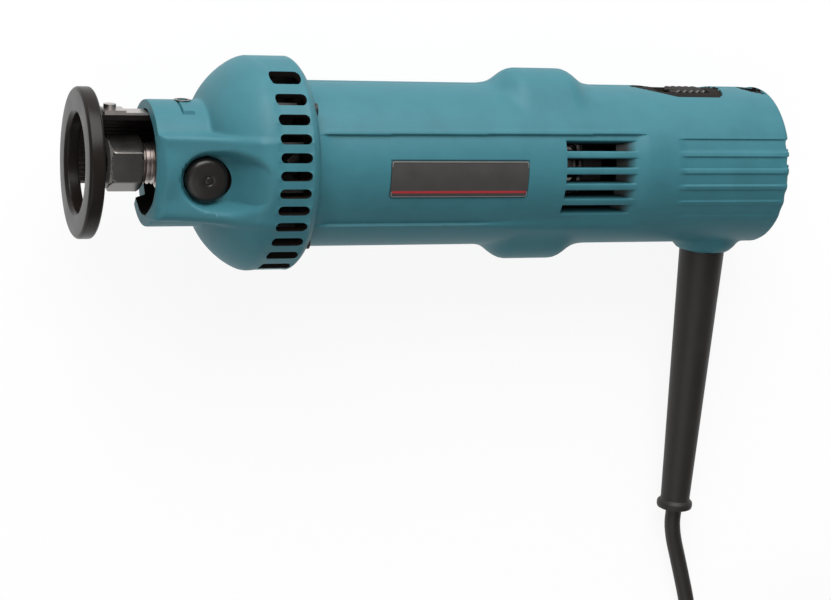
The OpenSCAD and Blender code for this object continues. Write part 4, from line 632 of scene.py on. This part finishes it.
def frontSkin():
    # lines round the spindle by stations along it; stations bend round the ends of the slots, which are left out
    f = SimpleNamespace(**front)
    pitch, half = f.slotPitch, f.slotHalf
    rows = (np.arange(f.slotCount) - (f.slotCount - 1) / 2) * pitch
    within = np.array([-1, -0.866, -0.5, 0, 0.5, 0.866, 1]) * half
    beside = np.array([0.3, 0.75, 1.325, 1.9, 2.35]) + half
    heights = [spreadOver(rows, within), spreadOver(rows, beside), spreadOver(rows[:1], -beside[:3])]
    heights = np.unique(np.round(np.concatenate(heights), 5))
    near = np.arcsin(heights[np.abs(heights) < 35.6] / f.collar)
    top = np.radians(np.arange(81, 100, 2.2))
    theta = np.r_[near, top, math.pi - near[::-1], top + math.pi][:, None]
    stations = np.concatenate([
        f.front + np.array([0, 0.15, 0.4, 0.8, 1.3, 1.9, 2.5, 3.1, 3.8]), np.arange(28.1, 32.7, 0.9),
        f.pocket + np.array([-0.45, -0.2, 0.0, 0.2, 0.45]), np.arange(34.4, 41.6, 0.6), np.arange(41.8, 57.2, 0.62),
        [57.3, 58.3, 59.3, 60.4, 61.5, 62.6, 64.0, 65.3, 66.6, 68.0, 69.1, 70.2, f.slotRear]])
    y = f.collar * np.sin(theta)
    slotRow = np.abs(y - rows[None]).min(1, keepdims=True)
    bow = np.where(slotRow < half + 1e-6, half * np.sqrt(np.clip(1 - (slotRow / half) ** 2, 0, 1)), 0)
    x = np.broadcast_to(stations[None], (len(theta), len(stations))).copy()
    startAt, endAt, middle = f.slot[0] + half, f.slot[1] - half, sum(f.slot) / 2
    x -= bow * np.interp(x, [f.collarFrom, startAt, middle], [0, 1, 0])
    x += bow * np.interp(x, [middle, endAt, f.slotRear], [0, 1, 0])
    farSide = np.cos(theta) < 0
    step = f.notch * farSide * window(20.5 * np.sin(theta), -16, 14, 1.2)
    x += step * np.interp(stations, [f.front, 31.0], [1, 0])[None]
    # rays lean from the radius towards the near side, so that they see into the bowl
    slopes = {-90: -90, -65: -60, -48: -25, -32: 5, 0: 10, 20: 18, 37: 35, 90: 90}
    lean = np.interp(np.degrees(np.arcsin(np.sin(theta))), list(slopes), list(slopes.values()))
    lean = np.radians(lean)
    way = stacked(0 * x, np.sin(lean), np.cos(lean) * np.sign(np.cos(theta)))
    far = 14.0
    start = aroundX(x, domeRadius(x), theta) + far * way
    outer = start - castInwards(start, -way, frontField, far + 14, 60)[..., None] * way
    # the hollow: a mouth, widened at the top for the strip, that opens to the fan's chamber
    top = np.where(np.sin(theta) > 0, 1 - fade(np.abs(17.5 * np.cos(theta)), 4.2, 4.8), 0)
    opening = np.interp(x, f.chamberFrom, [f.mouth, f.chamber])
    hollow = np.where(x < f.chamberFrom[0], f.mouth + 0.8 * top, opening)
    swell = np.maximum(1, (hollow + 0.25) / np.hypot(outer[..., 1], outer[..., 2]))
    outer = outer * stacked(1, swell, swell)
    # on the near side the wall goes straight in, so that the button's hole keeps its width
    follow = ~farSide * (1 - fade(np.abs(outer[..., 1]), 10, 20)) * (1 - fade(x, 48.5, 53.0))
    innerY = hollow * np.sin(theta) + follow * (outer[..., 1] - hollow * np.sin(theta))
    innerZ = np.sqrt(np.maximum(hollow ** 2 - innerY ** 2, 0)) * np.sign(np.cos(theta))
    inner = stacked(x, innerY, innerZ)
    # rounded rear edge of the collar
    swing = np.radians(np.linspace(0, 90, 8))[1:]
    rearX = (f.end - f.round[0] * (1 - np.sin(swing) ** 1.4))[None]
    rearR = (f.collar - f.round[1] * (1 - np.cos(swing) ** 1.4))[None]
    outer = np.concatenate([outer, aroundX(rearX, rearR, theta)], 1)
    inner = np.concatenate([inner, aroundX(rearX, np.minimum(rearR - 0.02, f.chamber), theta)], 1)
    # slots and the button's hole are left out
    following = np.roll(outer, -1, 0)
    middleOf = (outer[:, :-1] + outer[:, 1:] + following[:, :-1] + following[:, 1:]) / 4
    nextY = np.roll(y, -1, 0)
    inSlot = (np.abs((y + nextY) / 2 - rows[None]).min(1) < half) & (np.abs(y - nextY)[:, 0] < 1.5)
    between = np.zeros(outer.shape[1] - 1, bool)
    between[:len(stations) - 1] = (stations[:-1] > startAt - 0.01) & (stations[1:] < endAt + 0.01)
    button = np.array(f.button)
    offCentre = np.hypot(middleOf[..., 0] - button[0], middleOf[..., 1] - button[1])
    inHole = (offCentre < f.buttonHole) & (middleOf[..., 2] > 0)
    keep = ~(inSlot[:, None] & between[None]) & ~inHole
    # the edge of the button's hole moves onto its circle, and its wall goes straight in
    used, gone = np.zeros(outer.shape[:2], int), np.zeros(outer.shape[:2], int)
    wide = inHole.shape[1]
    for shiftLine, shiftStation in ((0, 0), (0, 1), (1, 0), (1, 1)):
        gone[:, shiftStation:shiftStation + wide] += np.roll(inHole, shiftLine, 0)
        used[:, shiftStation:shiftStation + wide] += np.roll(keep, shiftLine, 0)
    edge = (gone > 0) & (used > 0)
    flat = outer[edge][:, :2] - button
    flat = button + flat / np.linalg.norm(flat, axis=1, keepdims=True) * f.buttonHole
    above = np.concatenate([flat, np.full((len(flat), 1), 46.0)], 1)
    down = castInwards(above, np.array([0, 0, -1.0]), frontField, 36, 60)
    outer[edge] = above - stacked(0, 0, down)
    inner[edge] = np.concatenate([flat, np.sqrt(f.mouth ** 2 - flat[:, 1:2] ** 2)], 1)
    # painted shade on the inside and on the walls of the slots and the button's hole
    return shellPiece("frontSkin", outer, inner, keep, True, 34, paintedShadeRim=lambda x, y: (x > 30) & (x < 72))


skin = finishPiece(frontSkin(), "root", "teal_shell", "front_housing")
# second material: the painted shade of the inside and the hole walls
skin.data.materials.append(paints["recess"])
print("frontSkin", len(skin.data.polygons), "faces")
hub = {
    "x": (30.0, 30.15, 30.4, 35.3, 44.3, 52.7, 53.0), "drop": (0.4, 0.12, 0, 0, 0, 0, 0.3), "outer": 14.6,
    "inner": 10.0, "window": (35.3, 44.3), "windowTurn": (-27.7, 14.5),
}


def hubRing():
    # a tube round the spindle, with a window in its wall for the lock's pin and spring
    turn = mergeLines(np.array(hub["windowTurn"]), np.arange(-180, 180, 3.75), 1.0)
    angle, x = np.radians(turn)[:, None], np.array(hub["x"])[None]
    outer, inner = (aroundX(x, r, angle) for r in (hub["outer"] - np.array(hub["drop"])[None], hub["inner"]))
    turnMiddle, xMiddle = (turn + np.append(turn[1:], 180)) / 2, (x[0, :-1] + x[0, 1:]) / 2
    inTurn = (turnMiddle > hub["windowTurn"][0]) & (turnMiddle < hub["windowTurn"][1])
    inRun = (xMiddle > hub["window"][0]) & (xMiddle < hub["window"][1])
    return shellPiece("noseHub", outer, inner, ~(inTurn[:, None] & inRun[None]), wrap=True)


finishPiece(hubRing(), "root", "black_plastic")

# Base guide: a disc with rounded rims, and a part sleeve ribbed inside
guide = {
    "disc": ((0.0, 17.5), (0.0, 24.3), (0.8, 25.1), (4.6, 25.1), (5.2, 24.5), (5.2, 16.4), (1.1, 16.4)),
    "rims": (0.3, 0.4, 0.4, 0.35, 0.35, 0.3, 0.45), "thick": 5.2, "sleeve": 17.2, "sleeveIn": 15.2, "sleeveEnd": 37.2,
    "from": -35.0, "to": 104.0, "ribs": 44, "ribHigh": 0.22, "strip": 8.6, "stripHalf": 4.05, "stripBed": 16.66,
}
disc = lathe("baseDisc", roundCorners(guide["disc"], guide["rims"]), 160)
finishPiece(disc, "guide", "black_plastic", "guide_base", paint="guide")


def sleeveSkin():
    # a sector of a tube: inside, ribs along it are a rectified sine of the angle; outside, a flat bed takes the strip
    turn = np.radians(np.linspace(guide["from"], guide["to"], 265))[:, None]
    body = np.linspace(10, guide["sleeveEnd"] - 0.3, 14)
    x = np.r_[guide["thick"] - 0.6, 8.5, 8.7, body, guide["sleeveEnd"]][None]
    up, away = np.sin(turn), -np.cos(turn)
    bed = (np.abs(guide["sleeve"] * away) < guide["stripHalf"]) & (up > 0) & (x > guide["strip"])
    outside = np.where(bed, guide["stripBed"] / np.maximum(up, 0.2), guide["sleeve"])
    outside = outside - 0.25 * (x > guide["sleeveEnd"] - 0.1)
    ribTurn = turn * 57.2958 / (guide["to"] - guide["from"]) * guide["ribs"] * math.pi / 2
    inside = guide["sleeveIn"] + guide["ribHigh"] * np.abs(np.sin(ribTurn)) + 0 * x
    return shellPiece("guideSleeve", *(stacked(x, r * up, r * away) for r in (outside, inside)))


finishPiece(sleeveSkin(), "guide", "black_plastic", paint="guide")

# Collet nut: a hexagon whose radius is a power sum over its six sides, cut by cones at both ends
nut = {
    "front": 10.4, "end": 21.4, "flats": 17.0, "faceFront": 8.2, "faceEnd": 9.0, "cone": 1.5, "power": 60, "core": 8.0,
    "bore": ((21.4, 7.2), (12.45, 7.2), (12.45, 3.4), (10.4, 3.4), (10.4, 7.9), (10.4, 8.2)), "corners": 9.9,
    "stations": (10.62, 10.9, 11.2, 11.6, 12.5, 16.0, 20.0, 20.6, 20.9, 21.15), "rear": ((21.4, 9.0), (21.4, 7.9)),
}


def hexagon(x, r, angle):
    # radius of the hexagon where the outline lies outside its inscribed circle
    cosines = np.clip(np.cos(angle[..., None] - np.arange(6) * math.pi / 3), 0, None)
    six = nut["flats"] / 2 / (cosines ** nut["power"]).sum(-1) ** (1 / nut["power"])
    ahead, behind = (x - nut["front"]) * nut["cone"], (nut["end"] - x) * nut["cone"]
    cone = np.minimum(nut["faceFront"] + ahead, nut["faceEnd"] + behind)
    return np.where(r > nut["core"], np.minimum(np.minimum(six, cone), r), r)


nutOutline = [*nut["bore"], *[(x, nut["corners"]) for x in nut["stations"]], *nut["rear"]]
finishPiece(lathe("colletNut", nutOutline, 144, wave=hexagon, sharp=28), "nut", "black_steel", "collet_nut")

# Lock button: a low dome with a small ring pressed in its middle
button = {
    "base": ((18.7, 0.0), (18.7, 7.15), (18.9, 7.35)), "radius": 7.35, "rimAt": 20.5, "rimHigh": 1.9, "rimWide": 2.4,
    "crown": (
        (22.58, 4.2), (22.68, 2.6), (22.7, 1.75), (22.62, 1.6), (22.48, 1.45), (22.48, 1.25), (22.62, 1.1),
        (22.68, 0.8), (22.7, 0.0)),
}
rimTurn = np.radians(np.linspace(0, 90, 9))
rimRadius = button["radius"] - button["rimWide"] * (1 - np.cos(rimTurn))
buttonRim = stacked(button["rimAt"] + button["rimHigh"] * np.sin(rimTurn), rimRadius)
buttonOutline = np.concatenate([button["base"], buttonRim, button["crown"]])
lockButton = lathe("lockButton", buttonOutline, 96, centre=(*front["button"], 0), along=2, closed=False)
finishPiece(lockButton, "lock", "black_plastic", "lock_button")

# Switch knob: a block with rounded plan, its top waved into slanted ridges
knob = {
    "x": (215.0, 228.0), "half": 4.4, "floor": 26.3, "top": 28.1, "ridges": 5, "lean": 0.55, "ridgeDeep": 0.75,
    "rimDrop": 0.5, "grid": (131, 61),
}
u, v = np.meshgrid(*(np.linspace(-1, 1, count) for count in knob["grid"]), indexing="ij")
knobStart, knobRun = knob["x"][0], knob["x"][1] - knob["x"][0]
knobX, knobZ = sum(knob["x"]) / 2 + u * knobRun / 2, v * knob["half"] * (1 - 0.12 * u ** 8)
wave = 0.5 - 0.5 * np.cos(2 * math.pi * (knobX - knobStart - knob["lean"] * knobZ) / knobRun * knob["ridges"])
rim = np.maximum(np.abs(u) ** 14, np.abs(v) ** 10)
knobTop = stacked(knobX, knob["top"] - knob["ridgeDeep"] * wave ** 0.7 - knob["rimDrop"] * rim, knobZ)
switchKnob = shellPiece("switchKnob", knobTop, stacked(knobX, knob["floor"], knobZ))
finishPiece(switchKnob, "switch", "black_plastic", "switch_slider")

# Plates: curved sheets with rounded corners, a thin frame and a plain stripe
plate = {
    "x": (101.1, 150.9), "half": 6.2, "low": 27.1, "high": 27.62, "corner": 0.8, "stripe": (-4.75, -3.95),
    "stripeInset": 0.6, "frameInset": 0.25, "frameThick": 0.28, "frameCorner": 0.9,
}


def curvedSheet(name, xRange, yRange, rRange, side, corner, edge=0.12):
    # a sheet on the barrel's curve: radius over a grid of X and Y, its rim let down a little and its corners drawn in
    u = np.r_[-1, -0.995, np.linspace(-0.98, 0.98, 31), 0.995, 1][:, None]
    v = np.r_[-1, -0.97, np.linspace(-0.9, 0.9, 15), 0.97, 1][None]
    halfX, halfY = (xRange[1] - xRange[0]) / 2, (yRange[1] - yRange[0]) / 2
    past = np.clip(np.abs(v) * halfY - (halfY - corner), 0, None)
    x = sum(xRange) / 2 + u * (halfX - (corner - np.sqrt(np.clip(corner ** 2 - past ** 2, 0, None))))
    y = sum(yRange) / 2 + v * halfY
    top = rRange[1] - edge * ((np.abs(u) > 0.999) | (np.abs(v) > 0.999))
    return shellPiece(name, *(stacked(x, y, side * np.sqrt(r ** 2 - y ** 2)) for r in (top, rRange[0])))


def frameTrack(name, x0, x1, half, radius, side):
    # a square wire round the plate: four corners of its section carried round a rounded rectangle on the barrel's curve
    loop = roundCorners([(x0, -half), (x1, -half), (x1, half), (x0, half)], (plate["frameCorner"],) * 4, 6)
    step = np.roll(loop, -1, 0) - np.roll(loop, 1, 0)
    outward = stacked(step[:, 1], -step[:, 0]) / np.linalg.norm(step, axis=1, keepdims=True)
    section = np.array([(-1, -1), (1, -1), (1, 1), (-1, 1)]) * plate["frameThick"] / 2
    flat = loop[:, None] + outward[:, None] * section[None, :, :1]
    r = radius + section[None, :, 1]
    points = stacked(flat[..., 0], flat[..., 1], side * np.sqrt(r ** 2 - flat[..., 1] ** 2))
    return meshPiece(name, place(points), gridFaces(len(loop), 4, wrap=True, ends=True), 40)


for prefix, side in (("near", 1), ("far", -1)):
    (x0, x1), half, high = plate["x"], plate["half"], plate["high"]
    sheet = curvedSheet(prefix + "Plate", plate["x"], (-half, half), (plate["low"], high), side, plate["corner"])
    finishPiece(sheet, "root", "dark_plate", prefix + "_plate")
    inset = plate["stripeInset"]
    stripeX, stripeR = (x0 + inset, x1 - inset), (high - 0.1, high + 0.04)
    stripe = curvedSheet(prefix + "Stripe", stripeX, plate["stripe"], stripeR, side, 0.3, 0.05)
    finishPiece(stripe, "root", "dark_plate", paint="red")
    inset = plate["frameInset"]
    track = frameTrack(prefix + "PlateFrame", x0 + inset, x1 - inset, half - inset, high, side)
    finishPiece(track, "root", "dark_plate", paint="frame")

# Cord guard: a long taper with a ring at its tip
guard = {
    "root": ((-24.0, 3.05), (-24.0, 8.2), (-32.9, 8.25), (-36.0, 8.17)), "step": 5.0, "narrow": 0.1433, "steps": 18,
    "ring": (
        (-129.2, 5.5), (-129.9, 5.6), (-130.5, 6.2), (-130.9, 6.6), (-131.5, 6.75), (-132.5, 6.75), (-133.1, 6.55),
        (-133.4, 6.0), (-133.5, 4.2), (-134.0, 4.0), (-134.0, 3.05)),
}
taper = np.array(guard["root"][-1]) - np.arange(1, guard["steps"] + 1)[:, None] * (guard["step"], guard["narrow"])
guardOutline = np.concatenate([guard["root"], taper, guard["ring"]])
cordGuard = lathe("cordGuard", guardOutline, 64, centre=(barrel["guardAt"], 0, 0), along=1)
finishPiece(cordGuard, "root", "rubber", "cord_guard")

# Tie: a flat band round the coil; its outline is a rounded rectangle in the plane through the coil's axis
tie = {"turn": 75.0, "wide": 7.0, "thick": 0.8, "gap": 0.3, "corner": 2.5}
turnsThere = np.arange(int(cordShape["turns"] * cordShape["layers"]) + 1) + tie["turn"] / 360
radii = coilRadius(turnsThere) * 1000
clear = cordShape["radius"] * 1000 + tie["gap"]
tieIn, tieOut = radii.min() - clear, radii.max() + clear
tieTop = (cordShape["low"] + (cordShape["layers"] - 1) * cordShape["pitch"]) * 1000 + clear
loops = []
for grow in (tie["thick"], 0.0):
    a, b, low, high = tieIn - grow, tieOut + grow, tie["thick"] - grow, tieTop + grow
    loops.append(roundCorners([(a, low), (b, low), (b, high), (a, high)], (tie["corner"] + grow,) * 4, 7))
heading = math.pi + math.radians(tie["turn"])
outwards = np.array([math.cos(heading), math.sin(heading), 0])
sideways, upwards = np.array([-math.sin(heading), math.cos(heading), 0]), np.array([0, 0, 1.0])
corners = np.stack([
    loops[k][:, :1] * outwards + loops[k][:, 1:] * upwards + hand * tie["wide"] / 2 * sideways
    for k, hand in ((0, -1), (0, 1), (1, 1), (1, -1))], 1)
bandPoints = corners / 1000 + np.array([*cordShape["middle"], 0])
band = meshPiece("coilTie", bandPoints, gridFaces(len(loops[0]), 4, wrap=True, ends=True), 40)
finishPiece(band, "root", "rubber", "coil_tie")

# Plug: sections across its axis are superellipses that go from the round neck to the flat body, with three grip grooves
plug = {
    "at": cordShape["tail"][-1], "turn": 95.0, "lines": 64, "round": (7, 12), "powers": (2, 4.5),
    "along": (
        0, 0, 2, 4, 6, 7.4, 8.0, 8.6, 9.6, 11, 13, 14, 15, 16, 17, 18, 19, 20, 21, 22, 24, 28, 33, 35.6, 36.8, 37.6,
        38.0, 38.0),
    "halfWide": (
        0, 4.0, 4.25, 4.5, 4.75, 5.2, 6.4, 7.8, 9.0, 9.8, 10, 10, 9.5, 9.3, 10, 9.5, 9.3, 10, 9.5, 9.3, 10, 10, 10,
        9.9, 9.6, 9.0, 8.2, 0),
    "halfHigh": (
        0, 4.0, 4.25, 4.5, 4.75, 5.0, 5.4, 6.0, 6.7, 7.3, 7.5, 7.5, 7.1, 7.0, 7.5, 7.1, 7.0, 7.5, 7.1, 7.0, 7.5, 7.5,
        7.5, 7.4, 7.2, 6.7, 6.0, 0),
}
s, halfWide, halfHigh = (np.array(plug[key])[None] for key in ("along", "halfWide", "halfHigh"))
power = np.interp(s, plug["round"], plug["powers"])
t = np.linspace(0, 2 * math.pi, plug["lines"], endpoint=False)[:, None]
swell = (np.abs(np.cos(t)) ** power + np.abs(np.sin(t)) ** power) ** (-1 / power)
turn = math.radians(plug["turn"])
ahead, beside = np.array([math.cos(turn), math.sin(turn), 0]), np.array([-math.sin(turn), math.cos(turn), 0])
sections = stacked(s, halfWide * swell * np.cos(t), halfHigh * swell * np.sin(t)) @ np.array([ahead, beside, upwards])
plugPoints = np.array(plug["at"]) + sections / 1000
plugBody = meshPiece("plugBody", plugPoints, gridFaces(plug["lines"], s.size, wrap=True), 40)
finishPiece(plugBody, "root", "rubber", "plug_body")

# Springs: a wire wound on a helix over its span; each names the joint that loads it
lockSpring = {"centre": (*front["button"], 0), "way": (0, 0, 1), "span": (12.06, 18.64), "seat": 0, "radius": 3.7}
brushSpring = {"centre": (162.7, 0, 0), "span": (24.11, 28.59), "seat": 1, "radius": 2.4, "keep": 0.545}
springs = {
    "lockSpring": {"node": "lock_spring", "joint": "lock_press", "keep": 0.385, **lockSpring},
    "upperBrushSpring": {"node": "brush_spring_top", "joint": "upper_brush_lift", "way": (0, 1, 0), **brushSpring},
    "lowerBrushSpring": {"node": "brush_spring_bottom", "joint": "lower_brush_lift", "way": (0, -1, 0), **brushSpring},
}
wire = {"radius": 0.3, "turns": 3, "sides": 10, "perTurn": 36}
for name, spring in springs.items():
    share = np.linspace(0, 1, wire["turns"] * wire["perTurn"] + 1)[:, None]
    centre, way = np.array(spring["centre"]), np.array(spring["way"], float)
    first, second = np.array([1.0, 0, 0]), np.cross(way, (1.0, 0, 0))
    low, high = spring["span"][0] + wire["radius"], spring["span"][1] - wire["radius"]
    winding = 2 * math.pi * wire["turns"] * share
    turns = spring["radius"] * (np.cos(winding) * first + np.sin(winding) * second)
    helix = centre + (low + (high - low) * share) * way + turns
    coiled = roundTube(place(helix), wire["radius"] / 1000, wire["sides"], way @ axes)
    piece = meshPiece(name, coiled, gridFaces(wire["sides"], coiled.shape[1], wrap=True), 60)
    finishPiece(piece, "root", "steel", spring["node"])
    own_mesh(piece)

# The CAD nodes that still show take their slot's material, apart from a few that are duller or brighter; the brush
# holders' brass is darkened as painted shade behind the vents
slotOf = {part["node"]: part["material_slot"] for part in frame["record"]["subparts"]}
toned = {
    "commutator": "patina", "brush_holder_top": "brassInPaintedShade", "brush_holder_bottom": "brassInPaintedShade",
    "flange_screws": "darkScrew", "guide_strip_screw": "steel",
}
for name, thing in frame["nodes"].items():
    thing.data.materials.clear()
    thing.data.materials.append(paints[toned.get(name, slotOf[name])])
print("pieces made")

# Floor: pale, soft to other light, white to the camera and in reflections, and it keeps the tool's shadow
stage = {"half": 3, "points": 9, "under": 0.0003, "grey": 0.8, "white": 0.9}
across = np.linspace(-stage["half"], stage["half"], stage["points"])
floorPoints = stacked(across[:, None], across[None], -stage["under"])
floor = meshPiece("floor", floorPoints, gridFaces(stage["points"], stage["points"]))
floorPaint = bpy.data.materials.new("paleFloor")
floorPaint.use_nodes = True
floorTree = floorPaint.node_tree
floorTree.nodes.clear()
matte = node(floorTree, "ShaderNodeBsdfDiffuse", Color=(stage["grey"],) * 3 + (1,))
glow = node(floorTree, "ShaderNodeEmission", Color=(1, 1, 1, 1), Strength=1.0)
seen = node(floorTree, "ShaderNodeLightPath")
direct, either = (node(floorTree, "ShaderNodeMath", operation="MAXIMUM") for _ in range(2))
share = node(floorTree, "ShaderNodeMath", operation="MULTIPLY")
share.inputs[1].default_value = stage["white"]
blend = node(floorTree, "ShaderNodeMixShader")
out = node(floorTree, "ShaderNodeOutputMaterial")
join(
    floorTree, (seen, "Is Camera Ray", direct, 0), (seen, "Is Glossy Ray", direct, 1), (direct, 0, either, 0),
    (seen, "Is Transmission Ray", either, 1), (either, 0, share, 0), (share, 0, blend, "Fac"), (matte, 0, blend, 1),
    (glow, 0, blend, 2), (blend, 0, out, "Surface"))
floor.data.materials.append(floorPaint)

# Light: a broad soft lamp past the switch side, a weak one over the cord side, and an even sky
light = {"aim": (0.0, -0.02, 0.03), "upright": (0.0, 0.3, 1.0), "sky": 0.33}
lamps = {
    "key": {"place": (-0.1, 1.0, 0.75), "size": 1.3, "watts": 28.0},
    "fill": {"place": (-0.5, -0.6, 0.8), "size": 1.2, "watts": 3.5},
}
for name, lamp in lamps.items():
    data = bpy.data.lights.new(name + "Lamp", "AREA")
    data.shape, data.size, data.energy = "DISK", lamp["size"], lamp["watts"]
    aimBack = np.subtract(lamp["place"], light["aim"])
    aimBack /= np.linalg.norm(aimBack)
    across = np.cross(light["upright"], aimBack)
    across /= np.linalg.norm(across)
    thing = bpy.data.objects.new(name + "Lamp", data)
    standAt(thing, across, np.cross(aimBack, across), aimBack, lamp["place"])
sky = bpy.data.worlds.new("sky")
sky.use_nodes = True
sky.node_tree.nodes["Background"].inputs["Color"].default_value = (1, 1, 1, 1)
sky.node_tree.nodes["Background"].inputs["Strength"].default_value = light["sky"]
scene.world = sky
print("floor and light set")
